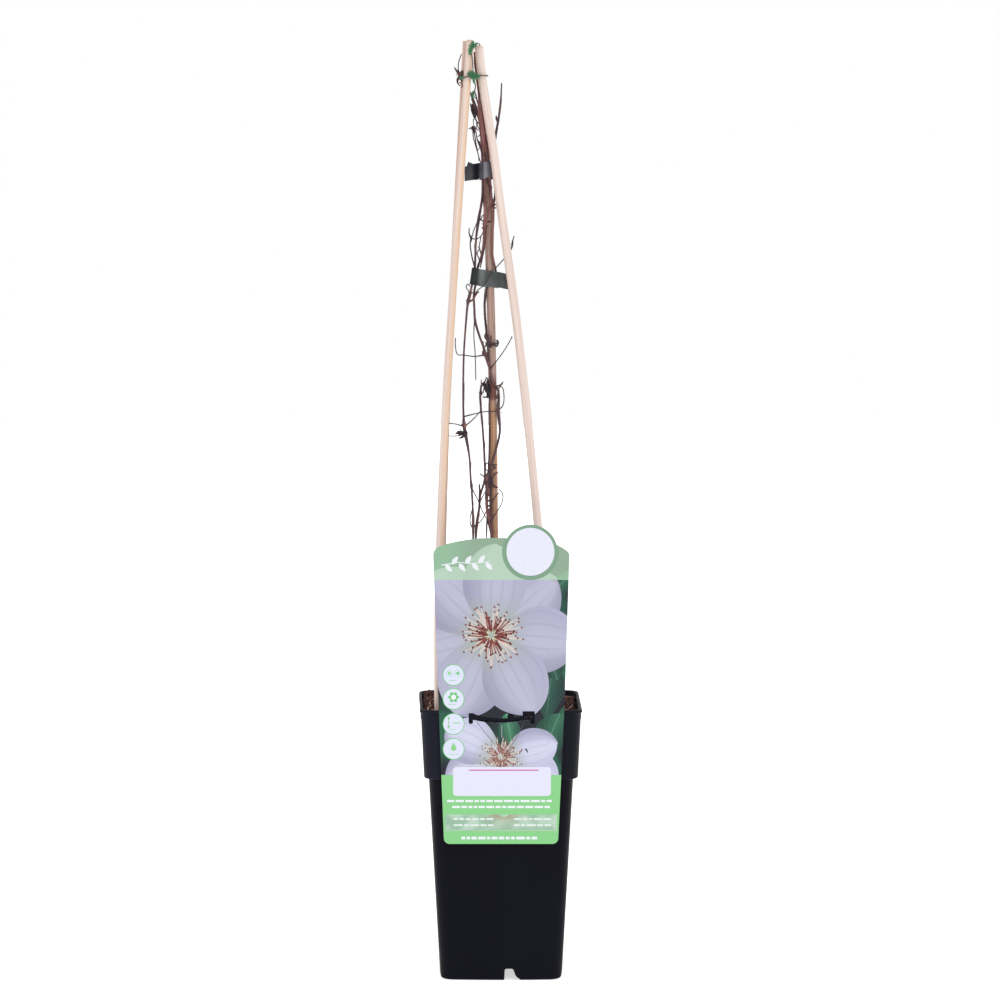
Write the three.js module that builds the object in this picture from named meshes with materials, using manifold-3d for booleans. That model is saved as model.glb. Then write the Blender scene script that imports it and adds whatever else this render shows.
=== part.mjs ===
// Potted clematis in its winter rest, climbing a tripod of canes.
// Millimetres, +Z up. The origin is the middle of the pot's base, and the label hangs on the -Y side.

import * as THREE from 'three';
import { mergeVertices } from 'three/addons/utils/BufferGeometryUtils.js';
import Module from 'manifold-3d';

const wasm = await Module();
wasm.setup();

// ---------------------------------------------------------------- driving dimensions

const GAP = 0.35; // clearance between pieces that touch

// Square nursery pot: a tapered body, a wider collar and a beaded lip.
const POT = {
  height: 216,
  wall: 1.6,
  floor: 2,
  bow: 1.3,
  footHalf: 47.9,
  footFillet: 2.6,
  bodyHalf: 56.6,
  bodyCorner: 12,
  collarFoot: 160.8,
  collarHalf: 60.5,
  collarEdge: 1.8,
  collarTopHalf: 62.5,
  collarCorner: 13,
  bandFoot: 208,
  bandHalf: 62.9,
  lipFoot: 212.9,
  lipHalf: 63.5,
  lipCorner: 10,
  backLeftSpread: 3.8,
};

// Raised channel that lets water out under each side of the base.
const CHANNEL = {
  height: 9.5,
  inner: 6.5,
  outer: 60,
  near: 1.5,
  far: 16.4,
  drainRadius: 3.4,
  drainInset: 15,
};

const SOIL = { level: 210.5, edgeDrop: 9, backRise: 3.6, leftRise: 1.4, rightDip: 5, lump: 1.3 };

// Three pale canes and a bamboo stick in the middle.
const CANE_RADIUS = { front_left: 3.05, back_left: 3.05, right: 3.4, centre: 3.3 };

// Twine: its turn round the canes climbs a little towards +X.
const TWINE = { radius: 0.5, turnZ: 711.1, climb: 0.11, climbFrom: -21 };

// Sides of each kind of rod, and the spacing of its rings.
const CANE = { sides: 10, step: 45 };
const STEM = { sides: 6, step: 12 };
const TENDRIL = { sides: 5, step: 5 };
const LEAF = { sides: 6, step: 3, thickness: 0.7 };
const STRAND = { sides: 6, step: 4 };
const KNOT = { sides: 8, step: 2 };

const TAPE = { height: 13, thickness: 0.6, stepsPerPoint: 3 };

// Hanging card label: a tapered sheet with a round badge at the top and a slot at the pot's rim.
const LABEL = {
  thickness: 0.8,
  bottom: 111.5,
  footHalf: 44.6,
  footCorner: 4.5,
  waist: 215.5,
  waistHalf: 49,
  shoulder: 337,
  shoulderHalf: 53,
  crown: 350.4,
  badgeX: 22.8,
  badgeZ: 339.9,
  badgeRadius: 21,
};

// Slot in the card, which the pot's rim shows through: a sagging bar, a leg at each end and a round notch.
const SLOT = {
  left: -25.2,
  right: 26.2,
  top: 215.6,
  legFoot: 207.3,
  legWidth: 3.4,
  barFoot: 208.8,
  barSag: 204.2,
  barTop: 214.1,
  notchX: 7.4,
  notchZ: 211.1,
  notchRadius: 2.6,
};

const SIDE_STEPS = 4; // divisions of a straight pot side
const CORNER_STEPS = 4; // divisions of a pot corner
const UP = new THREE.Vector3(0, 0, 1);

// ---------------------------------------------------------------- solids from rings

/** Closed body through rings with equal point counts, its two ends closed by fans. */
function loft(rings) {
  const count = rings[0].length;
  const vertices = rings.flat();
  const index = [];
  for (let ring = 0; ring + 1 < rings.length; ring++) {
    for (let k = 0; k < count; k++) {
      const a = ring * count + k;
      const b = ring * count + ((k + 1) % count);
      index.push(a, b, b + count, a, b + count, a + count);
    }
  }
  const start = vertices.length;
  const end = start + 1;
  const lastRing = (rings.length - 1) * count;
  vertices.push(middle(rings[0]), middle(rings[rings.length - 1]));
  for (let k = 0; k < count; k++) {
    const next = (k + 1) % count;
    index.push(start, next, k);
    index.push(end, lastRing + k, lastRing + next);
  }
  return indexed(vertices, index);
}

/** Closed band through rings that lead back to the first one. */
function loopLoft(rings) {
  const count = rings[0].length;
  const total = rings.length * count;
  const index = [];
  for (let ring = 0; ring < rings.length; ring++) {
    for (let k = 0; k < count; k++) {
      const a = ring * count + k;
      const b = ring * count + ((k + 1) % count);
      index.push(a, b, (b + count) % total, a, (b + count) % total, (a + count) % total);
    }
  }
  return indexed(rings.flat(), index);
}

function middle(points) {
  const sum = new THREE.Vector3();
  points.forEach((point) => sum.add(point));
  return sum.divideScalar(points.length);
}

function indexed(vertices, index) {
  const geometry = new THREE.BufferGeometry().setFromPoints(vertices);
  geometry.setIndex(index);
  return geometry;
}

/**
 * Tapered round rod through hand-placed points [x, y, z, radius].
 * `grow` widens and lengthens it, for the hole that it stands in; `thickness` presses it flat.
 */
function rod(points, { sides, step, grow = 0, thickness = 0 }) {
  const places = points.map(([x, y, z]) => new THREE.Vector3(x, y, z));
  const curve = new THREE.CatmullRomCurve3(places, false, 'centripetal');
  const spans = places.length - 1;
  const stations = [];
  for (let span = 0; span < spans; span++) {
    const pieces = Math.max(1, Math.round(places[span].distanceTo(places[span + 1]) / step));
    for (let k = 0; k < pieces; k++) stations.push(span + k / pieces);
  }
  stations.push(spans);

  let tangent = curve.getTangent(0);
  const reference = Math.abs(tangent.y) < 0.9 ? new THREE.Vector3(0, 1, 0) : UP;
  const normal = reference.clone().cross(tangent).normalize();
  const rings = stations.map((station) => {
    const along = curve.getTangent(station / spans);
    normal.applyQuaternion(new THREE.Quaternion().setFromUnitVectors(tangent, along));
    tangent = along;
    const side = along.clone().cross(normal);
    const centre = curve.getPoint(station / spans);
    const ends = (station === spans) - (station === 0);
    centre.addScaledVector(along, ends * grow);
    const radius = radiusAt(points, station) + grow;
    const ring = [];
    for (let k = 0; k < sides; k++) {
      const angle = (2 * Math.PI * k) / sides;
      const point = centre.clone().addScaledVector(normal, radius * Math.cos(angle));
      ring.push(point.addScaledVector(side, (thickness / 2 || radius) * Math.sin(angle)));
    }
    return ring;
  });
  return loft(rings);
}

function radiusAt(points, station) {
  const span = Math.min(Math.floor(station), points.length - 2);
  return THREE.MathUtils.lerp(points[span][3], points[span + 1][3], station - span);
}

// ---------------------------------------------------------------- joining and cutting

function bare(geometry) {
  const plain = geometry.clone();
  plain.deleteAttribute('normal');
  plain.deleteAttribute('uv');
  return mergeVertices(plain, 1e-5);
}

function solid(geometry) {
  const plain = bare(geometry);
  const vertProperties = new Float32Array(plain.attributes.position.array);
  const triVerts = new Uint32Array(plain.index.array);
  return new wasm.Manifold(new wasm.Mesh({ numProp: 3, vertProperties, triVerts }));
}

function geometryOf(body) {
  const mesh = body.getMesh();
  const geometry = new THREE.BufferGeometry();
  geometry.setAttribute('position', new THREE.BufferAttribute(mesh.vertProperties, 3));
  geometry.setIndex(new THREE.BufferAttribute(mesh.triVerts, 1));
  return geometry;
}

function fuse(geometries) {
  return geometryOf(geometries.map(solid).reduce((whole, body) => whole.add(body)));
}

function cut(geometry, tools) {
  return geometryOf(tools.map(solid).reduce((rest, tool) => rest.subtract(tool), solid(geometry)));
}

// ---------------------------------------------------------------- pot

/** One level of the pot: a square with rounded corners and gently bowed sides. */
function level(half, corner, z, bow = 0) {
  const points = [];
  for (let side = 0; side < 4; side++) {
    const turn = (side * Math.PI) / 2;
    const add = (out, along) => {
      points.push(spread(new THREE.Vector3(out, along, z).applyAxisAngle(UP, turn)));
    };
    for (let k = 1; k < SIDE_STEPS; k++) {
      const t = (2 * k) / SIDE_STEPS - 1;
      add(half + bow * (1 - t * t), t * (half - corner));
    }
    for (let k = 0; k <= CORNER_STEPS; k++) {
      const angle = ((k / CORNER_STEPS) * Math.PI) / 2;
      add(half - corner + corner * Math.cos(angle), half - corner + corner * Math.sin(angle));
    }
  }
  return points;
}

/** The thin collar is pushed out of square by the soil at its back left corner. */
function spread(point) {
  const up = THREE.MathUtils.smoothstep(point.z, POT.collarFoot, POT.height);
  const back = THREE.MathUtils.smoothstep(point.y, -POT.lipHalf, POT.lipHalf);
  const left = THREE.MathUtils.clamp(-point.x / POT.lipHalf, 0, 1);
  point.x -= POT.backLeftSpread * up * back * left;
  return point;
}

/** Half-widths of the hollow from the lip down, drawn in by `gap` for what fills it. */
function hollow(gap) {
  const inset = POT.wall + gap;
  const shelf = POT.collarFoot + POT.wall + gap;
  return [
    level(POT.collarTopHalf - inset, POT.collarCorner - inset, POT.bandFoot),
    level(POT.collarHalf - inset, POT.collarCorner - inset, shelf + POT.collarEdge),
    level(POT.collarHalf - inset - POT.collarEdge, POT.collarCorner - inset, shelf),
    level(POT.bodyHalf - inset, POT.bodyCorner - inset, shelf - POT.wall, POT.bow),
    level((POT.bodyHalf + POT.footHalf) / 2 - inset, POT.bodyCorner - inset, POT.collarFoot / 2, POT.bow),
    level(POT.footHalf - inset, POT.bodyCorner - 2 - inset, POT.footFillet + POT.floor + gap, POT.bow),
    level(POT.footHalf - inset - 1.5, POT.bodyCorner - 3 - inset, POT.floor + gap, POT.bow),
  ];
}

/** Section of a channel: upright on its near side, sloping on its far side, flared at both feet. */
function channelProfile(grow) {
  const left = CHANNEL.near - grow;
  const right = CHANNEL.far + grow;
  const top = CHANNEL.height + grow;
  const foot = grow ? POT.floor / 2 : -1;
  const sides = [
    [left, foot], [left + 1.1, 1.3 + grow / 2], [left + 1.5, top - 1.3], [left + 2.5, top],
    [right - 7.7, top], [right - 6.6, top - 1.2], [right - 5, top - 5.4], [right - 2.9, 1.9 + grow / 2],
    [right, foot],
  ];
  return new THREE.Shape(sides.map(([x, z]) => new THREE.Vector2(x, z)));
}

/** The channel's bar on each of the four sides, from `inner` to `outer` of the pot's middle. */
function channels(grow, inner, outer) {
  return [0, 1, 2, 3].map((side) => {
    const options = { depth: outer - inner, bevelEnabled: false };
    const bar = new THREE.ExtrudeGeometry(channelProfile(grow), options);
    bar.rotateX(Math.PI / 2);
    bar.translate(0, -inner, 0);
    return bar.rotateZ((side * Math.PI) / 2);
  });
}

function drains() {
  return [0, 1, 2, 3].map((side) => {
    const hole = new THREE.CylinderGeometry(CHANNEL.drainRadius, CHANNEL.drainRadius, 4 * POT.wall, 10);
    hole.rotateX(Math.PI / 2);
    const across = (CHANNEL.near + CHANNEL.far) / 2 - 2;
    hole.translate(across, -CHANNEL.inner - CHANNEL.drainInset, CHANNEL.height + POT.wall / 2);
    return hole.rotateZ((side * Math.PI) / 2);
  });
}

function potGeometry() {
  const bodyTop = POT.collarFoot - 0.4;
  const lipCorner = POT.lipCorner;
  const outside = [
    level(POT.footHalf - POT.footFillet, POT.bodyCorner - 4, 0, POT.bow),
    level(POT.footHalf - 0.8, POT.bodyCorner - 3, 0.8, POT.bow),
    level(POT.footHalf, POT.bodyCorner - 2, POT.footFillet, POT.bow),
    level((POT.bodyHalf + POT.footHalf) / 2, POT.bodyCorner, bodyTop / 2, POT.bow),
    level(POT.bodyHalf, POT.bodyCorner, bodyTop, POT.bow),
    level(POT.collarHalf - POT.collarEdge, POT.collarCorner, POT.collarFoot),
    level(POT.collarHalf - 0.4, POT.collarCorner, POT.collarFoot + POT.collarEdge / 3),
    level(POT.collarHalf, POT.collarCorner, POT.collarFoot + POT.collarEdge),
    level(POT.collarTopHalf, POT.collarCorner, POT.bandFoot),
    level(POT.bandHalf, POT.collarCorner - 1, POT.bandFoot + 0.5),
    level(POT.bandHalf, POT.collarCorner - 1, POT.lipFoot),
    level(POT.lipHalf - 0.4, lipCorner, POT.lipFoot + 0.3),
    level(POT.lipHalf, lipCorner, POT.height - 1.6),
    level(POT.lipHalf - 0.5, lipCorner, POT.height - 0.3),
    level(POT.lipHalf - 1.2, lipCorner, POT.height),
  ];
  const lipInside = level(POT.collarTopHalf - POT.wall + 0.4, POT.collarCorner - POT.wall, POT.height);
  const cup = loft([...outside, lipInside, ...hollow(0)]);
  const housings = channels(POT.wall, CHANNEL.inner - POT.wall, POT.footHalf - POT.wall / 2);
  const openings = [...channels(0, CHANNEL.inner, CHANNEL.outer), ...drains()];
  return cut(fuse([cup, ...housings]), openings);
}

// ---------------------------------------------------------------- soil

/** Height of the soil at a place: heaped to the back, sunk by the right wall, lumpy all over. */
function soilHeight(x, y) {
  const reach = POT.collarTopHalf;
  const dip = SOIL.rightDip * THREE.MathUtils.smoothstep(x, reach * 0.5, reach);
  const lumps =
    Math.sin(x * 0.37 + 1.3) * Math.cos(y * 0.31 - 0.4) +
    0.6 * Math.sin(x * 0.83 - y * 0.57) +
    0.5 * Math.cos(x * 0.29 + y * 0.97 + 2);
  return SOIL.level + (SOIL.backRise * y) / reach - (SOIL.leftRise * x) / reach - dip + SOIL.lump * lumps;
}

function soilGeometry(standing) {
  const wallHalf = POT.collarTopHalf - POT.wall - GAP - 0.5;
  const inside = hollow(GAP).slice(1).reverse();
  const crown = [1, 0.95, 0.86, 0.75, 0.62, 0.48, 0.34, 0.2, 0.08].map((share) => {
    const ring = level(wallHalf * share, (POT.collarCorner - POT.wall) * share, POT.bandFoot);
    ring.forEach((point) => point.setZ(soilHeight(point.x, point.y)));
    return ring;
  });
  const edge = level(wallHalf, POT.collarCorner - POT.wall, SOIL.level - SOIL.edgeDrop);
  const heap = loft([...inside, edge, ...crown]);
  const bars = channels(POT.wall + GAP, CHANNEL.inner - POT.wall - GAP, CHANNEL.outer);
  const sockets = standing.map(({ route, build }) => rod(route, { ...build, grow: GAP }));
  return cut(heap, [...bars, ...sockets]);
}

// ---------------------------------------------------------------- canes

// Routes from the soil up: [x, y, z].
const CANE_ROUTES = {
  front_left: [
    [-47.5, -42, 147.9], [-49.3, -42, 214.5], [-49.4, -35.5, 295.9], [-47.8, -30, 354], [-43.2, -22, 456.7],
    [-38.4, -14.5, 535.1], [-33.3, -9.3, 614.2], [-27.8, -5.6, 692.8], [-24.2, -4.8, 740],
  ],
  back_left: [
    [-47.5, 43, 147.9], [-49.8, 43, 215.5], [-47.1, 30, 350], [-43.6, 22, 455.7], [-38.9, 14, 535.1],
    [-34.3, 8, 614.2], [-29.8, 4, 692.8], [-27.3, 3.4, 740],
  ],
  right: [
    [46.5, 0, 147.9], [41.5, 0, 216.5], [28.4, 0, 368], [17.8, 0, 471.6], [10.2, 0, 535.1],
    [-1, 0, 614.2], [-6.1, -0.3, 653.6], [-15, -0.4, 710.5], [-17.6, 0.2, 736.1],
  ],
  centre: [
    [-2.4, 8.6, 122.6], [-4, 8.6, 215.5], [-5.6, 8.6, 356], [-6.6, 8.6, 455.7], [-8.3, 8.6, 535.1],
    [-10.8, 8.6, 614.2], [-12.8, 8.6, 666.3],
  ],
};

function caneRoute(name) {
  return CANE_ROUTES[name].map((place) => [...place, CANE_RADIUS[name]]);
}

/** Middle of a cane at a height. */
function caneAt(name, z) {
  const route = CANE_ROUTES[name];
  const upper = route.findIndex((place) => place[2] > z);
  const [below, above] = [route[upper - 1], route[upper]];
  const share = (z - below[2]) / (above[2] - below[2]);
  return [0, 1].map((axis) => THREE.MathUtils.lerp(below[axis], above[axis], share));
}

/** The bamboo stick carries a low ring at each of its joints. */
const BAMBOO_JOINTS = [249.7, 352, 458.6];

function bambooRings() {
  const ring = [[-1.6, 0.05], [-0.4, 0.3], [0.5, 0.3], [1.4, 0.05]];
  return BAMBOO_JOINTS.map((z) => {
    const centre = caneAt('centre', z);
    const points = ring.map(([rise, swell]) => [...centre, z + rise, CANE_RADIUS.centre + swell]);
    return rod(points, CANE);
  });
}

// ---------------------------------------------------------------- vine

// Every stem is a route [x, y, z, radius] from the soil up; wide points are its nodes.
// Its offshoots are tendrils, twigs and buds that start inside it.
const STEMS = {
  stem_outer: {
    route: [
      [-14, -2, 189.3, 0.9], [-14, -2, 209.4, 0.9], [-16, -3, 243.7, 0.9], [-17, -3.2, 265.8, 1.4],
      [-19.5, -3, 293.9, 0.8], [-21.5, -2, 329, 0.8], [-22.2, -1, 346, 0.8], [-22.2, -1, 355, 1.2],
      [-22.6, -1, 370, 0.8], [-23.4, -0.8, 384, 0.8], [-23.7, -0.7, 388, 1.2], [-24.2, -0.5, 393, 0.8],
      [-25.2, 0, 410.9, 0.8], [-28.2, 0, 429.2, 1.5], [-29.3, 0, 435.8, 1.3],
      [-29.8, 0, 444.8, 0.8], [-30.1, 0, 461.7, 0.75], [-29.6, 0, 491.5, 0.75], [-28.2, 0, 513.3, 0.75],
      [-26.7, 0, 530.7, 0.9], [-26, 0, 534.7, 1.5], [-23.9, 0, 544, 0.8], [-21.2, 0, 553.9, 0.8],
      [-20.6, 0, 561.8, 0.9], [-19.6, 1.2, 584.6, 0.8], [-17.6, 2.9, 599.4, 1.3], [-16.2, 4.4, 608.3, 0.9],
      [-15, 5, 618.1, 0.8], [-14.8, 5.2, 636.8, 0.8], [-15.2, 5.2, 653.6, 0.8], [-17, 5.6, 676.1, 0.9],
      [-18.8, 6, 685, 0.8], [-22.2, 8, 694.8, 0.8], [-26.4, 10, 703.6, 0.7], [-31, 10, 711.5, 0.9],
      [-33.4, 8.8, 714.5, 1.2], [-37, 7.4, 719.4, 0.5],
    ],
    offshoots: [
      // Long tendril that reaches across to the main stem, and the shorter one below it.
      [
        [-29.6, 0, 442.8, 0.6], [-19.6, -1.6, 445.4, 0.4],
        [-11.4, -0.8, 447, 0.4], [-4.6, 2.6, 446.8, 0.35],
      ],
      [[-29, 0, 434.8, 0.6], [-21.6, -1.7, 441.4, 0.4], [-16.4, -1.4, 447.2, 0.35]],
      // Two tendrils towards the front cane, the lower one with dried leaf buds.
      [[-29.2, 0, 434.8, 0.6], [-36, -9, 437.1, 0.4], [-41, -18.6, 438, 0.35]],
      [[-28.4, 0, 429.8, 0.6], [-33, -3, 427.9, 0.5], [-36.8, -9, 427.7, 0.4], [-40.8, -17, 428, 0.35]],
      [[-28.6, 0, 429.3, 0.8], [-31.4, -1.4, 430.6, 1.1], [-33.8, -2, 429.2, 0.4]],
      [[-28.6, 0, 428.9, 0.8], [-30.8, -0.8, 426.5, 1], [-33.6, -2.6, 425.7, 0.4]],
      [[-32.4, -2.6, 428.1, 0.5], [-34.6, -4.4, 429.8, 0.9], [-36.2, -6, 429, 0.35]],
      // Curl above the knot.
      [
        [-25.4, 0, 536.1, 0.6], [-25.6, -0.6, 542, 0.4], [-27.6, -1.2, 545.4, 0.4], [-26.6, -1.6, 548, 0.4],
        [-24.2, -1.4, 546, 0.35],
      ],
      // Side shoot with its own node and two twigs.
      [
        [-20.6, 0, 559.9, 0.7], [-23.4, -1, 571.1, 0.5], [-24.4, -1.2, 580.1, 0.5], [-23.7, -1.2, 584.2, 1],
        [-25.2, -1, 587.5, 0.5], [-25.2, -1, 592.5, 0.35],
      ],
      [[-23.7, -1.2, 583.6, 0.5], [-21.4, -1.4, 590.9, 0.4], [-17.8, -0.4, 599.4, 0.35]],
      [
        [-23.7, -1.2, 584.2, 0.5], [-19, -1.2, 583.6, 0.4], [-15.4, -1, 586.7, 0.4], [-14, -1, 590.2, 0.4],
        [-15, -0.8, 593.1, 0.35],
      ],
      // Twig across to the main stem and a thin arc below it.
      [
        [-23.6, -0.7, 386.4, 0.5], [-18.4, -0.4, 376.2, 0.4], [-14.6, 1, 367, 0.4],
        [-11.8, 2.4, 361.6, 0.35],
      ],
      [[-22.6, -1, 370, 0.45], [-24.6, -1.4, 362, 0.4], [-24.2, -1.4, 356.6, 0.4], [-22.2, -1, 353.4, 0.4]],
      // Dangling round seed head beside the bundle, and the loop above it.
      [
        [-14.8, 5, 641.8, 0.6], [-17, 4.2, 646.7, 0.4], [-19.6, 3.8, 658, 0.4], [-20.9, 3.6, 666.3, 0.5],
        [-21.6, 3.4, 670.8, 1.6], [-23, 3, 671.6, 0.5], [-25.7, 2.4, 670.7, 0.35],
      ],
      [
        [-16.8, 5.2, 674.2, 0.5], [-20.2, 5.2, 678.1, 0.4],
        [-22.6, 5.8, 686, 1.5], [-22.4, 7.2, 690.9, 0.5],
      ],
      // Dried tips at the very top.
      [[-33, 8.6, 713.9, 0.6], [-34, 9, 719.4, 0.4], [-33.4, 9, 724.3, 0.4], [-31.4, 8.8, 730.2, 0.35]],
      [[-32.4, 9, 713.1, 0.8], [-34.4, 9.6, 710.1, 1], [-34.2, 9.8, 707, 0.5], [-31.6, 10, 704.6, 0.4]],
    ],
  },

  stem_main: {
    route: [
      [-7, -1, 189.3, 1.2], [-6, -1, 209.4, 1.2], [-5, 0, 233.6, 1.1], [-5.6, 0.4, 265.8, 1.6],
      [-8, 1.2, 299.9, 1.1], [-7.4, 3, 330, 1], [-7.4, 3.6, 346.6, 1], [-10.4, 5.4, 361, 1],
      [-11.8, 6, 380.4, 1], [-10.6, 4.6, 390.6, 1.2], [-9.2, 3.6, 398.8, 1], [-6.8, 3.4, 406.9, 1],
      [-3.2, 4, 419.3, 0.9], [-1, 6, 431.2, 0.9], [-2.4, 4.9, 447.6, 1.4], [-2, 5, 461.7, 0.9],
      [-4, 3.8, 467.1, 0.9], [-6.8, 3.4, 471, 0.9], [-9.4, 3.6, 482.1, 0.9], [-12.4, 3.5, 492.3, 1.4],
      [-14, 2.5, 498.4, 0.9], [-17.6, 2, 508.4, 0.9], [-20.6, 1.5, 519.3, 1],
      [-21.2, 1.5, 528.7, 0.9], [-21.6, 2.4, 538.8, 0.9], [-20.4, 3.2, 547.4, 0.9],
      [-19.2, 3.2, 554.9, 0.9], [-18.4, 3.4, 561.8, 1], [-16.3, 2.8, 567.8, 0.9],
      [-14, 2.2, 579.2, 0.9], [-13.2, 1.6, 594.4, 1.3], [-12.6, 1.8, 614.2, 0.9],
      [-13.2, 2, 636.8, 0.9], [-13.4, 1.8, 653.6, 0.9], [-15.4, 1.4, 673.2, 1.2],
      [-16.7, 1.4, 685, 0.9], [-17.6, 2.3, 697.8, 0.9], [-19.3, 3.2, 711.5, 0.9],
      [-20.6, 3.4, 722.3, 1], [-21, 3.8, 731.2, 0.7],
    ],
    offshoots: [
      // Loop on the right of the stick.
      [
        [-2.4, 5, 447.6, 0.6], [1.4, 4.6, 451.5, 0.4], [2.4, 4.2, 458.7, 0.4], [0.8, 4, 466.3, 0.4],
        [-3.6, 3.9, 467.3, 0.45],
      ],
      // Long tendril to the front cane, which it climbs.
      [
        [-12.4, 3.4, 492.1, 0.6], [-20.6, 0, 490.7, 0.45], [-29.6, -2.4, 491.8, 0.4],
        [-34.6, -8, 492.4, 0.4], [-36, -12, 498.4, 0.4], [-36, -12, 505.4, 0.35],
      ],
      // Straight tendril to the right cane, with a button at its end.
      [
        [-9.4, 3.6, 479.6, 0.6], [-3.3, 2.6, 487.2, 0.4], [3.2, 1.8, 496.4, 0.35], [8.2, 0.4, 505, 0.35],
        [8.8, 0.2, 506.4, 0.65],
      ],
      // Broken shoot with a dark bud, in front of the stick's left edge.
      [
        [-9.5, 3.4, 483.5, 0.5], [-9.8, 2.9, 490.5, 0.6], [-10.4, 2.9, 495.7, 0.6], [-11, 2.9, 502.8, 0.6],
        [-12.6, 3.4, 506.4, 1], [-12, 3.6, 509.7, 0.5], [-11.8, 4.2, 514.3, 0.4],
      ],
      // Tuft of small hooks on the right of the stick.
      [[-3.6, 3.9, 467.1, 0.6], [-1.2, 3.6, 467.7, 0.5], [0.4, 3.6, 468.6, 0.7], [1.6, 3.6, 470.6, 0.35]],
      [[-4.6, 3.6, 466.3, 0.6], [-1.6, 3.2, 465.7, 0.5], [-0.2, 3.6, 468.2, 0.4]],
      // Shoot that crosses in front of the lower tape and passes behind the right cane.
      [
        [-21.4, 2.2, 537.1, 0.6], [-18.6, -1.6, 543, 0.45], [-14.4, -1.6, 546.4, 0.45],
        [-6.4, 1.4, 558.1, 0.45], [2.4, 5, 568.2, 0.45], [8.3, 5, 576.4, 0.6], [9, 4.4, 580, 0.9],
        [9.6, 3.8, 583.6, 0.45], [10.6, 3.2, 586.3, 0.35],
      ],
      // Papery strips beside the stem above the lower tape.
      [
        [-18.4, 3.2, 560.9, 0.6], [-15.4, 0.8, 568.8, 0.45],
        [-12.4, 0, 581.6, 0.45], [-11.4, 0.4, 594.4, 0.35],
      ],
      [
        [-15.4, 2.6, 570.7, 0.6], [-17.2, 0.8, 577.7, 0.4],
        [-16.4, 0.2, 582.6, 0.4], [-15.8, 0.4, 586.5, 0.35],
      ],
      // Second strand beside the stem, with a hook, a twig and a thin loop across the stick.
      [
        [-7.4, 3.5, 405.3, 0.7], [-8.4, 3.4, 400, 0.8], [-8.2, 3.3, 390, 0.8], [-8.3, 3.3, 380, 0.7],
        [-8.1, 3.4, 368, 0.7], [-7.8, 3.5, 356, 0.8], [-7.4, 3.6, 347, 0.8],
      ],
      [
        [-2, 3.8, 398.2, 0.35], [-3.2, 3.6, 397.8, 0.4], [-5.2, 3.2, 395.8, 0.45], [-7.2, 3.1, 392.2, 0.5],
        [-6.6, 3.1, 388.6, 0.5], [-4.8, 3.4, 386.2, 0.45], [-2.4, 3.8, 386, 0.35],
      ],
      [[-8, 3.4, 373.4, 0.6], [-5.6, 3.2, 377, 0.5], [-3.2, 3.6, 380.6, 0.45], [-1.4, 4.2, 381.8, 0.35]],
      [
        [-7.8, 3.5, 359.6, 0.5], [-4, 3.4, 365.8, 0.4], [-1.6, 4, 369.4, 0.35], [0.4, 4.4, 373, 0.35],
        [1.6, 4.6, 378.6, 0.35], [0.8, 4.4, 382.2, 0.35], [-1.6, 4, 385, 0.35],
      ],
      [[-8, 3.4, 403, 0.5], [-11.6, 1.2, 405.9, 0.4], [-12, 0.8, 401, 0.4], [-9.6, 0.8, 398.6, 0.35]],
      // Thin hanging twig.
      [[-21, 1.6, 522.2, 0.5], [-21.6, -0.4, 507.4, 0.4], [-20.6, -1, 493.5, 0.4], [-20, -1, 472, 0.35]],
    ],
  },

  stem_side: {
    route: [
      [-18.4, 4, 189.3, 0.9], [-18.4, 4, 209.4, 0.9], [-19.6, 3, 253.8, 0.9], [-18.6, 2.6, 293.9, 0.9],
      [-19.8, 2, 334, 0.9], [-20.1, 2, 346, 0.9], [-19.4, 2, 356, 1.3], [-17.4, 2, 370, 0.9],
      [-16.5, 2, 380, 0.9], [-13.4, 2.2, 390.6, 0.9], [-12.8, 2, 397, 0.9], [-13.2, 1.5, 410.9, 0.9],
      [-14.5, 1.2, 431.2, 0.85], [-16, 1.2, 448.6, 0.8], [-16.6, 1.4, 459.7, 0.9], [-16, 1.4, 465.7, 0.8],
      [-15.2, 1.3, 468.6, 0.8], [-13, 1, 470.4, 0.6], [-11.4, 0.8, 474, 0.5], [-9.8, 1, 471.2, 0.5],
    ],
    offshoots: [
      // Twigs across to the main stem, and the shrivelled leaf's broken stalks.
      [[-19.2, 2, 356.4, 0.5], [-16, 2.8, 359.6, 0.4], [-13.6, 3.4, 363.2, 0.4], [-12, 3.6, 367, 0.35]],
      [[-16.9, 2, 374.4, 0.5], [-14.4, 2.6, 379.4, 0.4], [-12.8, 3.2, 382.6, 0.35]],
      [[-12.9, 1.9, 394.4, 0.5], [-14.6, 1.4, 395.8, 0.4], [-16.6, 1, 397.6, 0.35]],
      [[-15.4, 1.3, 468, 0.6], [-15.8, 1, 470.6, 0.4], [-15.6, 0.8, 472.2, 0.35]],
      [[-13.2, 0.6, 465.5, 0.6], [-14, 0, 463.3, 0.4], [-14.2, -0.2, 461.5, 0.35]],
      // Short stub of a cut twig.
      [[-16.5, 2, 379, 0.8], [-17.2, 0.6, 386, 0.7], [-17.4, 0, 389, 0.6]],
    ],
    // Shrivelled leaf that hangs at the end: curled blades [x, y, z, half-width].
    leaves: [
      [
        [-13.2, 0.9, 470.6, 0.5], [-12.8, 0.4, 467.1, 1.7], [-11.6, -0.3, 464.5, 1.5],
        [-12.4, 0.2, 462.3, 0.4],
      ],
      [
        [-10.6, 0.9, 472, 0.5], [-10.9, 0.4, 467.7, 2], [-10.2, -0.6, 463.1, 1.5], [-10.7, 0, 460.5, 1.1],
        [-9.9, 0.3, 457.9, 0.4],
      ],
      [[-9.8, 1, 470.6, 0.5], [-9.2, 0.9, 466.1, 1.2], [-9.9, 0.3, 461.9, 1], [-9.1, 0, 457.1, 0.5]],
    ],
  },

  stem_back: {
    route: [
      [3, 13.2, 189.3, 1.1], [2.4, 13.2, 209.4, 1.1], [0.6, 13.6, 243.7, 1.1], [-1.4, 13.8, 265.8, 1.5],
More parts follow.
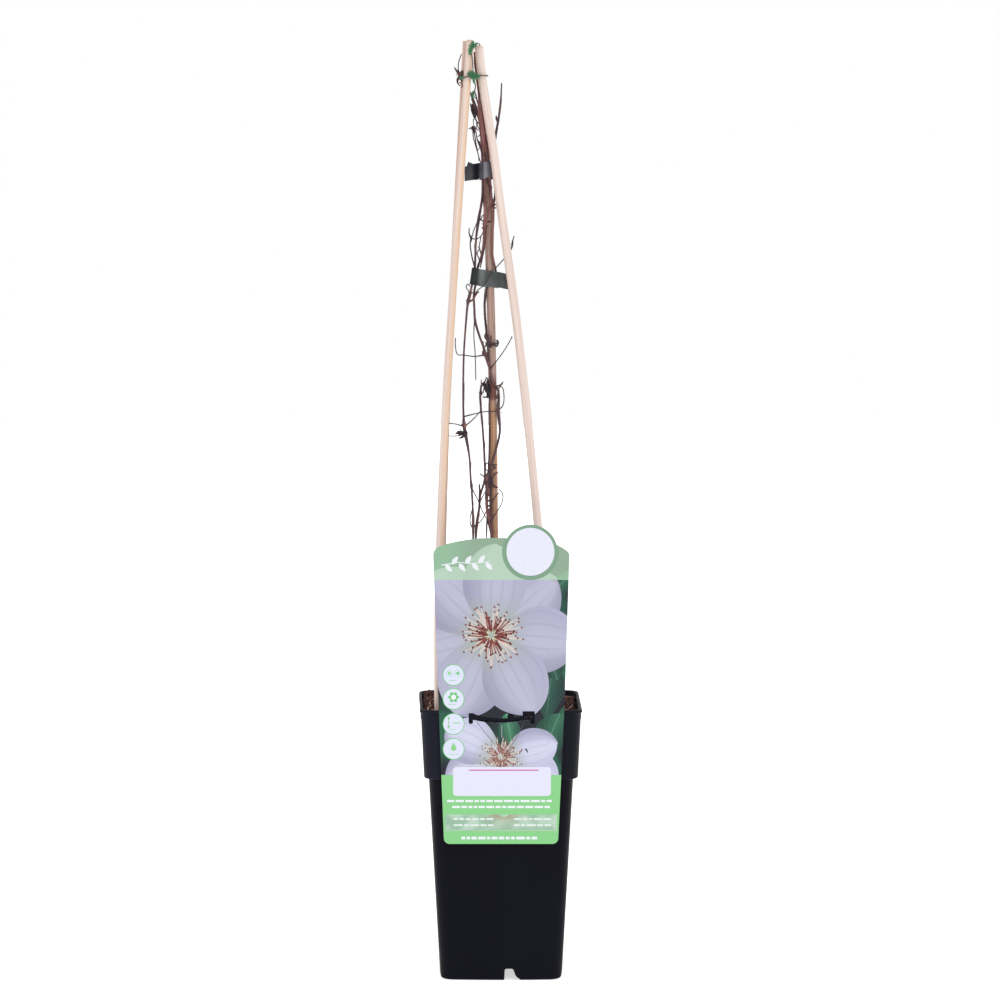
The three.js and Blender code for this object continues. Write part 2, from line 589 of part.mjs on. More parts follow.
      [-3.4, 13.6, 303.9, 1], [-5.2, 13.6, 344, 1], [-6.2, 13.8, 394, 1], [-6.6, 13.8, 443.8, 1.3],
      [-8.4, 13.4, 478.6, 0.95], [-10.8, 12.8, 503.4, 0.95], [-13, 10.8, 527.2, 0.95],
      [-12.6, 12.4, 537.1, 0.95],
      [-9, 13.8, 545, 0.95], [-4.6, 11.8, 553, 0.95], [-4.2, 8.2, 557.8, 0.95], [-5.4, 5.4, 563.5, 0.95],
      [-6.8, 4.4, 570.7, 0.95], [-6.7, 4.2, 582.6, 0.95], [-6.4, 4, 598.4, 1], [-6.6, 4, 608.3, 1.5],
      [-7.6, 4, 618.1, 0.95],
      [-9, 3.7, 636.8, 0.9], [-10.4, 3.6, 653.6, 0.9], [-12.2, 4, 669.3, 0.9], [-14.4, 4.6, 685, 0.85],
      [-16, 5.6, 697.8, 0.8], [-17.6, 6.4, 704.6, 0.5],
    ],
    offshoots: [
      // Free shoot on the right of the canes.
      [
        [-6.4, 4.2, 608.3, 0.9], [-4.8, 5.8, 620.1, 0.8], [-5.4, 6.8, 636.8, 0.8], [-4.8, 6.6, 659.5, 0.9],
        [-3.4, 6.4, 670.3, 1], [-2, 6.2, 678.1, 0.9], [-0.3, 5.8, 691.9, 0.9], [0, 5.8, 696.8, 0.65],
        [0.4, 5.6, 707, 0.5],
      ],
      [[-2.6, 6.2, 676.1, 0.6], [-3.6, 6, 679.1, 0.9], [-3.8, 6, 681.5, 0.4]],
      // Spiky broken twigs at the node beside the tape, one of them across the stick.
      [[-6.6, 4, 608.3, 0.8], [-4.6, 4.2, 611.2, 0.6], [-3.4, 4.4, 610.6, 0.35]],
      [[-6.4, 4, 598.4, 0.7], [-9.8, 3.4, 597.4, 0.45], [-12, 3, 598.4, 0.4]],
      // Tendril that has curled tightly round the bamboo stick, with loose curls on both sides.
      [
        [-10.6, 12.7, 502.4, 0.6], [-12, 9, 500, 0.5], [-10.2, 4.9, 499, 0.8], [-6.6, 3.9, 499.8, 1],
        [-3.6, 5.3, 501, 0.8], [-2.8, 8, 502, 0.5], [-4.4, 12.2, 503.8, 0.4],
      ],
      [[-5, 4.3, 500.3, 0.6], [-3.4, 4.4, 498.4, 0.4], [-1.9, 5, 501.6, 0.4], [-3.2, 5.2, 504, 0.35]],
      [[-11.7, 7.8, 499.7, 0.6], [-12.8, 6, 498.2, 0.4], [-13.8, 5.2, 499.8, 0.4], [-14.4, 5, 502.8, 0.35]],
    ],
  },
};

function stemGeometry({ route, offshoots = [], leaves = [] }) {
  const main = rod(route, STEM);
  const twigs = offshoots.map((twig) => rod(twig, TENDRIL));
  const blades = leaves.map((leaf) => rod(leaf, LEAF));
  return fuse([main, ...twigs, ...blades]);
}

// ---------------------------------------------------------------- ties

/**
 * Flat tape standing on edge along a plan route [x, y]; `slope` drops it towards +X.
 * A looped tape closes on itself.
 */
function tape(route, { z, slope = 0, looped = false }) {
  const places = route.map(([x, y]) => new THREE.Vector3(x, y, z - slope * (x - route[0][0])));
  const curve = new THREE.CatmullRomCurve3(places, looped, 'centripetal');
  const steps = places.length * TAPE.stepsPerPoint;
  const rings = [];
  for (let k = 0; k < (looped ? steps : steps + 1); k++) {
    const centre = curve.getPoint(k / steps);
    const along = curve.getTangent(k / steps).setZ(0).normalize();
    const out = UP.clone().cross(along);
    const corner = (side, rise) => {
      const point = centre.clone().addScaledVector(out, (side * TAPE.thickness) / 2);
      return point.addScaledVector(UP, (rise * TAPE.height) / 2);
    };
    rings.push([corner(1, 1), corner(-1, 1), corner(-1, -1), corner(1, -1)]);
  }
  return looped ? loopLoft(rings) : loft(rings);
}

function upperTapeGeometry() {
  const loop = [
    [-16.6, 3.4], [-15.2, 0.8], [-12.6, -0.2], [-9.6, 1.4], [-5.6, 4.2], [-3.4, 6.4], [-4.2, 9.4],
    [-7.6, 12.2], [-11.6, 13], [-15.4, 11.4], [-17.2, 7.6],
  ];
  const tail = [[-15, 0.8], [-17.6, 0], [-21.4, 0.6], [-25.4, -0.4], [-28.8, 0.2]];
  return fuse([tape(loop, { z: 637.4, looped: true }), tape(tail, { z: 637.4 })]);
}

function lowerTapeGeometry() {
  const slope = 0.155;
  const left = 554.5;
  const loop = [
    [-24.6, 1], [-23.6, -1.3], [-20.4, -1.4], [-15.4, 1.2], [-9, 4.3], [-4.8, 5.2], [-2.2, 8.2],
    [-2.6, 12], [-5.6, 15.2], [-10.8, 15.9], [-18, 12.4], [-23, 6.4],
  ];
  const tail = [[-9.6, 4.1], [-5, 4.6], [0, 4.6], [4.4, 5], [8, 5.2]];
  const start = left - slope * (tail[0][0] - loop[0][0]);
  return fuse([
    tape(loop, { z: left, slope, looped: true }),
    tape(tail, { z: start, slope }),
  ]);
}

/** Twine that binds the heads of the three canes, with its knots and loose ends. */
function twineGeometry() {
  const strand = (points) => rod(points.map((place) => [...place, TWINE.radius]), STRAND);
  const turn = (name, from, to) => {
    const [x, y] = caneAt(name, TWINE.turnZ);
    const reach = CANE_RADIUS[name] + TWINE.radius + 2 * GAP;
    return [0, 0.33, 0.67, 1].map((share) => {
      const angle = THREE.MathUtils.degToRad(THREE.MathUtils.lerp(from, to, share));
      const place = [x + reach * Math.cos(angle), y + reach * Math.sin(angle)];
      return [...place, TWINE.turnZ + TWINE.climb * (place[0] - TWINE.climbFrom)];
    });
  };
  const knotSide = [-21.4, -9.6, TWINE.turnZ];
  const binding = [
    knotSide, ...turn('right', -60, 70), ...turn('back_left', 95, 205), ...turn('front_left', 190, 265),
    knotSide,
  ];
  const knot = [
    [-25.4, -9.8, 713, 1], [-23.6, -9.8, 712, 2.1], [-21.2, -9.8, 710.8, 2.6], [-19, -9.6, 711, 2.2],
    [-17.8, -9.4, 711.4, 1],
  ];
  const sideKnot = [[-31.8, -5.4, 709.8, 0.6], [-31, -6.6, 710, 1.1], [-29.8, -7.8, 710.2, 0.6]];
  const rise = [[-21.8, -9.8, 712], [-22.2, -9.8, 718.4], [-22.6, -9.8, 724.5], [-23.6, -10, 730]];
  const tuft = [
    [-24.4, -10, 728.2, 0.8], [-24, -10.2, 731, 1.9], [-23, -10.2, 734, 1.7], [-22, -10, 737.4, 0.9],
  ];
  const sideTuft = [[-23, -10, 732.8, 0.8], [-21, -10, 734.6, 1.3], [-19.6, -9.4, 736.2, 0.9]];
  const over = [
    [-20.4, -9.8, 735.6], [-18.8, -6, 737], [-18, -3, 737.1], [-17.2, 2.4, 737.3], [-16.7, 5, 736.2],
    [-16.4, 5.6, 730.2],
  ];
  const hanging = [[-21.4, -9.8, 709.9], [-20.2, -7, 703.3], [-21, -3.6, 699.5], [-22.4, -2.6, 697.2]];
  const lowKnot = [[-21.6, -3, 699.1, 0.7], [-22.4, -2.4, 697.2, 1.5], [-23, -2.4, 695.2, 0.7]];
  const strands = [binding, rise, over, hanging].map(strand);
  const knots = [knot, sideKnot, tuft, sideTuft, lowKnot].map((points) => rod(points, KNOT));
  return fuse([...strands, ...knots]);
}

// ---------------------------------------------------------------- label

/** Front outline of the card, x across and y up. */
function labelOutline() {
  const { footHalf, footCorner, bottom, badgeX, badgeZ, badgeRadius, crown, shoulder } = LABEL;
  const badgeStart = 0.26;
  const badgeEnd = Math.PI - 0.53;
  const shape = new THREE.Shape();
  shape.moveTo(-footHalf + footCorner, bottom);
  shape.lineTo(footHalf - footCorner, bottom);
  shape.absarc(footHalf - footCorner, bottom + footCorner, footCorner, -Math.PI / 2, 0, false);
  shape.lineTo(LABEL.waistHalf + 0.2, LABEL.waist);
  shape.lineTo(LABEL.shoulderHalf, shoulder - 1);
  shape.quadraticCurveTo(LABEL.shoulderHalf + 0.4, shoulder + 2.4, 50, shoulder + 4.4);
  shape.quadraticCurveTo(46.4, 344, badgeX + badgeRadius * Math.cos(badgeStart), 345.3);
  shape.absarc(badgeX, badgeZ, badgeRadius, badgeStart, badgeEnd, false);
  shape.quadraticCurveTo(-2, crown + 0.4, -16.3, crown);
  shape.quadraticCurveTo(-36, 348.4, -47.4, 344.4);
  shape.quadraticCurveTo(-52.6, 342, -LABEL.shoulderHalf + 0.4, shoulder);
  shape.lineTo(-LABEL.waistHalf + 0.6, LABEL.waist);
  shape.lineTo(-footHalf, bottom + footCorner);
  shape.absarc(-footHalf + footCorner, bottom + footCorner, footCorner, Math.PI, 1.5 * Math.PI, false);
  return shape;
}

/** Outline of the slot, from the head of its left leg round the foot of the bar. */
function labelSlot() {
  const { left, right, top, legFoot, legWidth, barFoot, barSag, barTop } = SLOT;
  const { notchX, notchZ, notchRadius } = SLOT;
  const toe = legWidth / 2;
  const slot = new THREE.Path();
  slot.moveTo(left, barTop);
  slot.lineTo(left, legFoot);
  slot.absarc(left + toe, legFoot, toe, Math.PI, 2 * Math.PI, false);
  slot.lineTo(left + legWidth, barFoot);
  slot.quadraticCurveTo(-2, barSag, 17.7, barFoot - 0.3);
  slot.lineTo(right - legWidth, barFoot);
  slot.lineTo(right - legWidth, legFoot);
  slot.absarc(right - toe, legFoot, toe, Math.PI, 2 * Math.PI, false);
  slot.lineTo(right, top);
  slot.lineTo(16.8, top);
  slot.lineTo(16.8, 211.7);
  slot.lineTo(notchX + 2.5, 210.4);
  slot.absarc(notchX, notchZ, notchRadius, -0.25, Math.PI + 0.35, false);
  slot.quadraticCurveTo(-8, 209.5, -19.4, 212.9);
  slot.lineTo(left + legWidth, barTop);
  slot.closePath();
  return slot;
}

function labelGeometry() {
  const outline = labelOutline();
  outline.holes.push(labelSlot());
  const options = { depth: LABEL.thickness, bevelEnabled: false, curveSegments: 8 };
  return bare(new THREE.ExtrudeGeometry(outline, options));
}

// ---------------------------------------------------------------- assembly

const finish = (color, roughness) => new THREE.MeshStandardMaterial({ color, roughness, metalness: 0 });

const MATERIALS = {
  pot: finish(0x26262e, 0.5),
  soil: finish(0x40291f, 0.95),
  cane: finish(0xe4cdbc, 0.6),
  bamboo: finish(0x9a7660, 0.55),
  stem: finish(0x5c4540, 0.7),
  tape: finish(0x464e4b, 0.4),
  twine: finish(0x2e8255, 0.8),
  label: finish(0xe9e6f4, 0.3),
};

function piece(name, geometry, material) {
  geometry.computeVertexNormals();
  const mesh = new THREE.Mesh(geometry, material);
  mesh.name = name;
  return mesh;
}

const standing = [
  ...Object.keys(CANE_ROUTES).map((name) => ({ route: caneRoute(name), build: CANE })),
  ...Object.values(STEMS).map(({ route }) => ({ route, build: STEM })),
];

const container = new THREE.Group();
container.add(piece('pot', potGeometry(), MATERIALS.pot));
container.add(piece('soil', soilGeometry(standing), MATERIALS.soil));

const label = piece('label', labelGeometry(), MATERIALS.label);
label.rotation.x = Math.PI / 2;
label.position.y = -POT.lipHalf - GAP;
container.add(label);

const support = new THREE.Group();
for (const name of ['front_left', 'back_left', 'right']) {
  support.add(piece(`cane_${name}`, rod(caneRoute(name), CANE), MATERIALS.cane));
}
const stick = fuse([rod(caneRoute('centre'), CANE), ...bambooRings()]);
support.add(piece('cane_centre', stick, MATERIALS.bamboo));

const vine = new THREE.Group();
for (const [name, stem] of Object.entries(STEMS)) vine.add(piece(name, stemGeometry(stem), MATERIALS.stem));

const ties = new THREE.Group();
ties.add(piece('tape_upper', upperTapeGeometry(), MATERIALS.tape));
ties.add(piece('tape_lower', lowerTapeGeometry(), MATERIALS.tape));
ties.add(piece('twine_tie', twineGeometry(), MATERIALS.twine));

const pottedClematis = new THREE.Group();
pottedClematis.add(container, support, vine, ties);

export default pottedClematis;
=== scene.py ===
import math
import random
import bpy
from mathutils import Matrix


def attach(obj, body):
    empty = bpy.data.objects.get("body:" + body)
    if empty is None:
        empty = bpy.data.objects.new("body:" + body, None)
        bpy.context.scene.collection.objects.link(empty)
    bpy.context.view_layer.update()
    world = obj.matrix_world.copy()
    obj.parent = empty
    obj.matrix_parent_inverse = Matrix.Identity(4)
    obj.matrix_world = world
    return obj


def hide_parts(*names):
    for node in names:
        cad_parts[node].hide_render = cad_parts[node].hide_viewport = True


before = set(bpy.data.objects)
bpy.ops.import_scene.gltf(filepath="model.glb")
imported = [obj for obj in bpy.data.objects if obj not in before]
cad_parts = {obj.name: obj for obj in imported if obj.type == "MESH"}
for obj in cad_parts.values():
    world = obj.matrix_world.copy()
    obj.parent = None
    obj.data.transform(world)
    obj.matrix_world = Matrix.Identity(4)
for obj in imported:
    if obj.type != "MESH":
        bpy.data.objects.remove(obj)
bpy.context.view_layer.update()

# Looks of a potted clematis in its winter rest, climbing a tripod of canes.
# Shapes are worked out in millimetres, as in the part's source, and become metres in `Shape.mesh`.

from types import SimpleNamespace as Sizes

import bmesh
import bpy
import numpy as np
from mathutils import Quaternion, Vector, geometry, noise

MM = 0.001
UP = Vector((0, 0, 1))
QUARTER = math.pi / 2
draw = random.Random(11)

# ---------------------------------------------------------------- driving dimensions

GAP = 0.35
POT = Sizes(
    height=216, wall=1.6, floor=2, bow=1.3, foot_half=47.9, foot_fillet=2.6, body_half=56.6,
    body_corner=12, collar_foot=160.8, collar_half=60.5, collar_edge=1.8, collar_top_half=62.5,
    collar_corner=13, band_foot=208, band_half=62.9, lip_foot=212.9, lip_half=63.5, lip_corner=10,
    back_left_spread=3.7,
)
CHANNEL = Sizes(height=9.5, inner=6.5, outer=60, near=1.5, far=16.4, drain_radius=3.4, drain_inset=15)
SOIL = Sizes(level=210.5, back_rise=3.6, left_rise=1.4, right_dip=5, lump=1.3)
CANE_RADIUS = {"front_left": 3.05, "back_left": 3.05, "right": 3.4, "centre": 3.3}
BAMBOO_JOINTS = [249.7, 352, 458.6]
TWINE = Sizes(radius=0.5, turn_z=711.1, climb=0.11, climb_from=-21)
TAPE = Sizes(height=13, thickness=0.6, upper=637.5, lower=554.5, slope=0.155)
LABEL = Sizes(
    front=-64.6, thickness=0.75, bottom=111.5, foot_half=44.6, foot_corner=4.5, waist=215.5,
    waist_half=49, shoulder=337, shoulder_half=53, crown=350.4, badge_x=22.8, badge_z=339.9,
    badge_radius=21,
)

# Middle lines of the canes from their feet in the soil up, as in the part's source: [x, y, z].
CANE_ROUTES = {
    "front_left": [
        [-47.5, -42, 147.9], [-49.3, -42, 214.5], [-49.4, -35.5, 295.9], [-47.8, -30, 354],
        [-43.2, -22, 456.7], [-38.4, -14.5, 535.1], [-33.3, -9.3, 614.2], [-27.8, -5.6, 692.8],
        [-24.2, -4.8, 740],
    ],
    "back_left": [
        [-47.5, 43, 147.9], [-49.8, 43, 215.5], [-47.1, 30, 350], [-43.6, 22, 455.7], [-38.9, 14, 535.1],
        [-34.3, 8, 614.2], [-29.8, 4, 692.8], [-27.3, 3.4, 740],
    ],
    "right": [
        [46.5, 0, 147.9], [41.5, 0, 216.5], [28.4, 0, 368], [17.8, 0, 471.6], [10.2, 0, 535.1],
        [-1, 0, 614.2], [-6.1, -0.3, 653.6], [-15, -0.4, 710.5], [-17.6, 0.2, 736.1],
    ],
    "centre": [
        [-2.4, 8.6, 122.6], [-4, 8.6, 215.5], [-5.6, 8.6, 356], [-6.6, 8.6, 455.7], [-8.3, 8.6, 535.1],
        [-10.8, 8.6, 614.2], [-12.8, 8.6, 666.3],
    ],
}

# Stems and their offshoots from the soil up, as in the part's source: [x, y, z, radius].
OUTER_ROUTE = [
    [-14, -2, 189.3, 0.9], [-14, -2, 209.4, 0.9], [-16, -3, 243.7, 0.9], [-17, -3.2, 265.8, 1.4],
    [-19.5, -3, 293.9, 0.8], [-21.5, -2, 329, 0.8], [-22.2, -1, 346, 0.8], [-22.2, -1, 355, 1.2],
    [-22.6, -1, 370, 0.8], [-23.4, -0.8, 384, 0.8], [-23.7, -0.7, 388, 1.2], [-24.2, -0.5, 393, 0.8],
    [-25.2, 0, 410.9, 0.8], [-28.2, 0, 429.2, 1.5], [-29.3, 0, 435.8, 1.3], [-29.8, 0, 444.8, 0.8],
    [-30.1, 0, 461.7, 0.75], [-29.6, 0, 491.5, 0.75], [-28.2, 0, 513.3, 0.75], [-26.7, 0, 530.7, 0.9],
    [-26, 0, 534.7, 1.5], [-23.9, 0, 544, 0.8], [-21.2, 0, 553.9, 0.8], [-20.6, 0, 561.8, 0.9],
    [-19.6, 1.2, 584.6, 0.8], [-17.6, 2.9, 599.4, 1.3], [-16.2, 4.4, 608.3, 0.9], [-15, 5, 618.1, 0.8],
    [-14.8, 5.2, 636.8, 0.8], [-15.2, 5.2, 653.6, 0.8], [-17, 5.6, 676.1, 0.9], [-18.8, 6, 685, 0.8],
    [-22.2, 8, 694.8, 0.8], [-26.4, 10, 703.6, 0.7], [-31, 10, 711.5, 0.9], [-33.4, 8.8, 714.5, 1.2],
    [-37, 7.4, 719.4, 0.5],
]
OUTER_TWIGS = [
    # Long tendril that reaches across to the main stem, and the shorter one below it.
    [[-29.6, 0, 442.8, 0.6], [-19.6, -1.6, 445.4, 0.4], [-11.4, -0.8, 447, 0.4], [-4.6, 2.6, 446.8, 0.35]],
    [[-29, 0, 434.8, 0.6], [-21.6, -1.7, 441.4, 0.4], [-16.4, -1.4, 447.2, 0.35]],
    # Two tendrils towards the front cane, the lower one with dried leaf buds.
    [[-29.2, 0, 434.8, 0.6], [-36, -9, 437.1, 0.4], [-41, -18.6, 438, 0.35]],
    [[-28.4, 0, 429.8, 0.6], [-33, -3, 427.9, 0.5], [-36.8, -9, 427.7, 0.4], [-40.8, -17, 428, 0.35]],
    [[-28.6, 0, 429.3, 0.8], [-31.4, -1.4, 430.6, 1.1], [-33.8, -2, 429.2, 0.4]],
    [[-28.6, 0, 428.9, 0.8], [-30.8, -0.8, 426.5, 1], [-33.6, -2.6, 425.7, 0.4]],
    [[-32.4, -2.6, 428.1, 0.5], [-34.6, -4.4, 429.8, 0.9], [-36.2, -6, 429, 0.35]],
    # Curl above the knot.
    [[-25.4, 0, 536.1, 0.6], [-25.6, -0.6, 542, 0.4], [-27.6, -1.2, 545.4, 0.4], [-26.6, -1.6, 548, 0.4],
     [-24.2, -1.4, 546, 0.35]],
    # Side shoot with its own node and two twigs.
    [[-20.6, 0, 559.9, 0.7], [-23.4, -1, 571.1, 0.5], [-24.4, -1.2, 580.1, 0.5], [-23.7, -1.2, 584.2, 1],
     [-25.2, -1, 587.5, 0.5], [-25.2, -1, 592.5, 0.35]],
    [[-23.7, -1.2, 583.6, 0.5], [-21.4, -1.4, 590.9, 0.4], [-17.8, -0.4, 599.4, 0.35]],
    [[-23.7, -1.2, 584.2, 0.5], [-19, -1.2, 583.6, 0.4], [-15.4, -1, 586.7, 0.4], [-14, -1, 590.2, 0.4],
     [-15, -0.8, 593.1, 0.35]],
    # Twig across to the main stem and a thin arc below it.
    [[-23.6, -0.7, 386.4, 0.5], [-18.4, -0.4, 376.2, 0.4], [-14.6, 1, 367, 0.4], [-11.8, 2.4, 361.6, 0.35]],
    [[-22.6, -1, 370, 0.45], [-24.6, -1.4, 362, 0.4], [-24.2, -1.4, 356.6, 0.4], [-22.2, -1, 353.4, 0.4]],
    # Dangling round seed head beside the bundle, and the loop above it.
    [[-14.8, 5, 641.8, 0.6], [-17, 4.2, 646.7, 0.4], [-19.6, 3.8, 658, 0.4], [-20.9, 3.6, 666.3, 0.5],
     [-21.6, 3.4, 670.8, 1.6], [-23, 3, 671.6, 0.5], [-25.7, 2.4, 670.7, 0.35]],
    [[-16.8, 5.2, 674.2, 0.5], [-20.2, 5.2, 678.1, 0.4], [-22.6, 5.8, 686, 1.5], [-22.4, 7.2, 690.9, 0.5]],
    # Dried tips at the very top.
    [[-33, 8.6, 713.9, 0.6], [-34, 9, 719.4, 0.4], [-33.4, 9, 724.3, 0.4], [-31.4, 8.8, 730.2, 0.35]],
    [[-32.4, 9, 713.1, 0.8], [-34.4, 9.6, 710.1, 1], [-34.2, 9.8, 707, 0.5], [-31.6, 10, 704.6, 0.4]],
]

MAIN_ROUTE = [
    [-7, -1, 189.3, 1.2], [-6, -1, 209.4, 1.2], [-5, 0, 233.6, 1.1], [-5.6, 0.4, 265.8, 1.6],
    [-8, 1.2, 299.9, 1.1], [-7.4, 3, 330, 1], [-7.4, 3.6, 346.6, 1], [-10.4, 5.4, 361, 1],
    [-11.8, 6, 380.4, 1], [-10.6, 4.6, 390.6, 1.2], [-9.2, 3.6, 398.8, 1], [-6.8, 3.4, 406.9, 1],
    [-3.2, 4, 419.3, 0.9], [-1, 6, 431.2, 0.9], [-2.4, 4.9, 447.6, 1.4], [-2, 5, 461.7, 0.9],
    [-4, 3.8, 467.1, 0.9], [-6.8, 3.4, 471, 0.9], [-9.4, 3.6, 482.1, 0.9], [-12.4, 3.5, 492.3, 1.4],
    [-14, 2.5, 498.4, 0.9], [-17.6, 2, 508.4, 0.9], [-20.6, 1.5, 519.3, 1], [-21.2, 1.5, 528.7, 0.9],
    [-21.6, 2.4, 538.8, 0.9], [-20.4, 3.2, 547.4, 0.9], [-19.2, 3.2, 554.9, 0.9], [-18.4, 3.4, 561.8, 1],
    [-16.3, 2.8, 567.8, 0.9], [-14, 2.2, 579.2, 0.9], [-13.2, 1.6, 594.4, 1.3], [-12.6, 1.8, 614.2, 0.9],
    [-13.2, 2, 636.8, 0.9], [-13.4, 1.8, 653.6, 0.9], [-15.4, 1.4, 673.2, 1.2], [-16.7, 1.4, 685, 0.9],
    [-17.6, 2.3, 697.8, 0.9], [-19.3, 3.2, 711.5, 0.9], [-20.6, 3.4, 722.3, 1], [-21, 3.8, 731.2, 0.7],
]
MAIN_TWIGS = [
    # Loop on the right of the stick.
    [[-2.4, 5, 447.6, 0.6], [1.4, 4.6, 451.5, 0.4], [2.4, 4.2, 458.7, 0.4], [0.8, 4, 466.3, 0.4],
     [-3.6, 3.9, 467.3, 0.45]],
    # Long tendril to the front cane, which it climbs.
    [[-12.4, 3.4, 492.1, 0.6], [-20.6, 0, 490.7, 0.45], [-29.6, -2.4, 491.8, 0.4], [-34.6, -8, 492.4, 0.4],
     [-36, -12, 498.4, 0.4], [-36, -12, 505.4, 0.35]],
    # Straight tendril to the right cane, with a button at its end.
    [[-9.4, 3.6, 479.6, 0.6], [-3.3, 2.6, 487.2, 0.4], [3.2, 1.8, 496.4, 0.35], [8.2, 0.4, 505, 0.35],
     [8.8, 0.2, 506.4, 0.65]],
    # Broken shoot with a dark bud, in front of the stick's left edge.
    [[-9.5, 3.4, 483.5, 0.5], [-9.8, 2.9, 490.5, 0.6], [-10.4, 2.9, 495.7, 0.6], [-11, 2.9, 502.8, 0.6],
     [-12.6, 3.4, 506.4, 1], [-12, 3.6, 509.7, 0.5], [-11.8, 4.2, 514.3, 0.4]],
    # Tuft of small hooks on the right of the stick.
    [[-3.6, 3.9, 467.1, 0.6], [-1.2, 3.6, 467.7, 0.5], [0.4, 3.6, 468.6, 0.7], [1.6, 3.6, 470.6, 0.35]],
    [[-4.6, 3.6, 466.3, 0.6], [-1.6, 3.2, 465.7, 0.5], [-0.2, 3.6, 468.2, 0.4]],
    # Shoot that crosses in front of the lower tape and passes behind the right cane.
    [[-21.4, 2.2, 537.1, 0.6], [-18.6, -1.6, 543, 0.45], [-14.4, -1.6, 546.4, 0.45],
     [-6.4, 1.4, 558.1, 0.45], [2.4, 5, 568.2, 0.45], [8.3, 5, 576.4, 0.6], [9, 4.4, 580, 0.9],
     [9.6, 3.8, 583.6, 0.45], [10.6, 3.2, 586.3, 0.35]],
    # Papery strips beside the stem above the lower tape.
    [[-18.4, 3.2, 560.9, 0.6], [-15.4, 0.8, 568.8, 0.45], [-12.4, 0, 581.6, 0.45],
     [-11.4, 0.4, 594.4, 0.35]],
    [[-15.4, 2.6, 570.7, 0.6], [-17.2, 0.8, 577.7, 0.4], [-16.4, 0.2, 582.6, 0.4],
     [-15.8, 0.4, 586.5, 0.35]],
    # Second strand beside the stem, with a hook, a twig and a thin loop across the stick.
    [[-7.4, 3.5, 405.3, 0.7], [-8.4, 3.4, 400, 0.8], [-8.2, 3.3, 390, 0.8], [-8.3, 3.3, 380, 0.7],
     [-8.1, 3.4, 368, 0.7], [-7.8, 3.5, 356, 0.8], [-7.4, 3.6, 347, 0.8]],
    [[-2, 3.8, 398.2, 0.35], [-3.2, 3.6, 397.8, 0.4], [-5.2, 3.2, 395.8, 0.45], [-7.2, 3.1, 392.2, 0.5],
     [-6.6, 3.1, 388.6, 0.5], [-4.8, 3.4, 386.2, 0.45], [-2.4, 3.8, 386, 0.35]],
    [[-8, 3.4, 373.4, 0.6], [-5.6, 3.2, 377, 0.5], [-3.2, 3.6, 380.6, 0.45], [-1.4, 4.2, 381.8, 0.35]],
    [[-7.8, 3.5, 359.6, 0.5], [-4, 3.4, 365.8, 0.4], [-1.6, 4, 369.4, 0.35], [0.4, 4.4, 373, 0.35],
     [1.6, 4.6, 378.6, 0.35], [0.8, 4.4, 382.2, 0.35], [-1.6, 4, 385, 0.35]],
    [[-8, 3.4, 403, 0.5], [-11.6, 1.2, 405.9, 0.4], [-12, 0.8, 401, 0.4], [-9.6, 0.8, 398.6, 0.35]],
    # Thin hanging twig.
    [[-21, 1.6, 522.2, 0.5], [-21.6, -0.4, 507.4, 0.4], [-20.6, -1, 493.5, 0.4], [-20, -1, 472, 0.35]],
]

SIDE_ROUTE = [
    [-18.4, 4, 189.3, 0.9], [-18.4, 4, 209.4, 0.9], [-19.6, 3, 253.8, 0.9], [-18.6, 2.6, 293.9, 0.9],
    [-19.8, 2, 334, 0.9], [-20.1, 2, 346, 0.9], [-19.4, 2, 356, 1.3], [-17.4, 2, 370, 0.9],
    [-16.5, 2, 380, 0.9], [-13.4, 2.2, 390.6, 0.9], [-12.8, 2, 397, 0.9], [-13.2, 1.5, 410.9, 0.9],
    [-14.5, 1.2, 431.2, 0.85], [-16, 1.2, 448.6, 0.8], [-16.6, 1.4, 459.7, 0.9], [-16, 1.4, 465.7, 0.8],
    [-15.2, 1.3, 468.6, 0.8], [-13, 1, 470.4, 0.6], [-11.4, 0.8, 474, 0.5], [-9.8, 1, 471.2, 0.5],
]
SIDE_TWIGS = [
    # Twigs across to the main stem, and the shrivelled leaf's broken stalks.
    [[-19.2, 2, 356.4, 0.5], [-16, 2.8, 359.6, 0.4], [-13.6, 3.4, 363.2, 0.4], [-12, 3.6, 367, 0.35]],
    [[-16.9, 2, 374.4, 0.5], [-14.4, 2.6, 379.4, 0.4], [-12.8, 3.2, 382.6, 0.35]],
    [[-12.9, 1.9, 394.4, 0.5], [-14.6, 1.4, 395.8, 0.4], [-16.6, 1, 397.6, 0.35]],
    [[-15.4, 1.3, 468, 0.6], [-15.8, 1, 470.6, 0.4], [-15.6, 0.8, 472.2, 0.35]],
    [[-13.2, 0.6, 465.5, 0.6], [-14, 0, 463.3, 0.4], [-14.2, -0.2, 461.5, 0.35]],
    # Short stub of a cut twig.
    [[-16.5, 2, 379, 0.8], [-17.2, 0.6, 386, 0.7], [-17.4, 0, 389, 0.6]],
]
# Curled blades of the shrivelled leaf: [x, y, z, half-width].
SIDE_LEAVES = [
    [[-13.2, 0.9, 470.6, 0.5], [-12.8, 0.4, 467.1, 1.7], [-11.6, -0.3, 464.5, 1.5],
     [-12.4, 0.2, 462.3, 0.4]],
    [[-10.6, 0.9, 472, 0.5], [-10.9, 0.4, 467.7, 2], [-10.2, -0.6, 463.1, 1.5], [-10.7, 0, 460.5, 1.1],
     [-9.9, 0.3, 457.9, 0.4]],
    [[-9.8, 1, 470.6, 0.5], [-9.2, 0.9, 466.1, 1.2], [-9.9, 0.3, 461.9, 1], [-9.1, 0, 457.1, 0.5]],
]

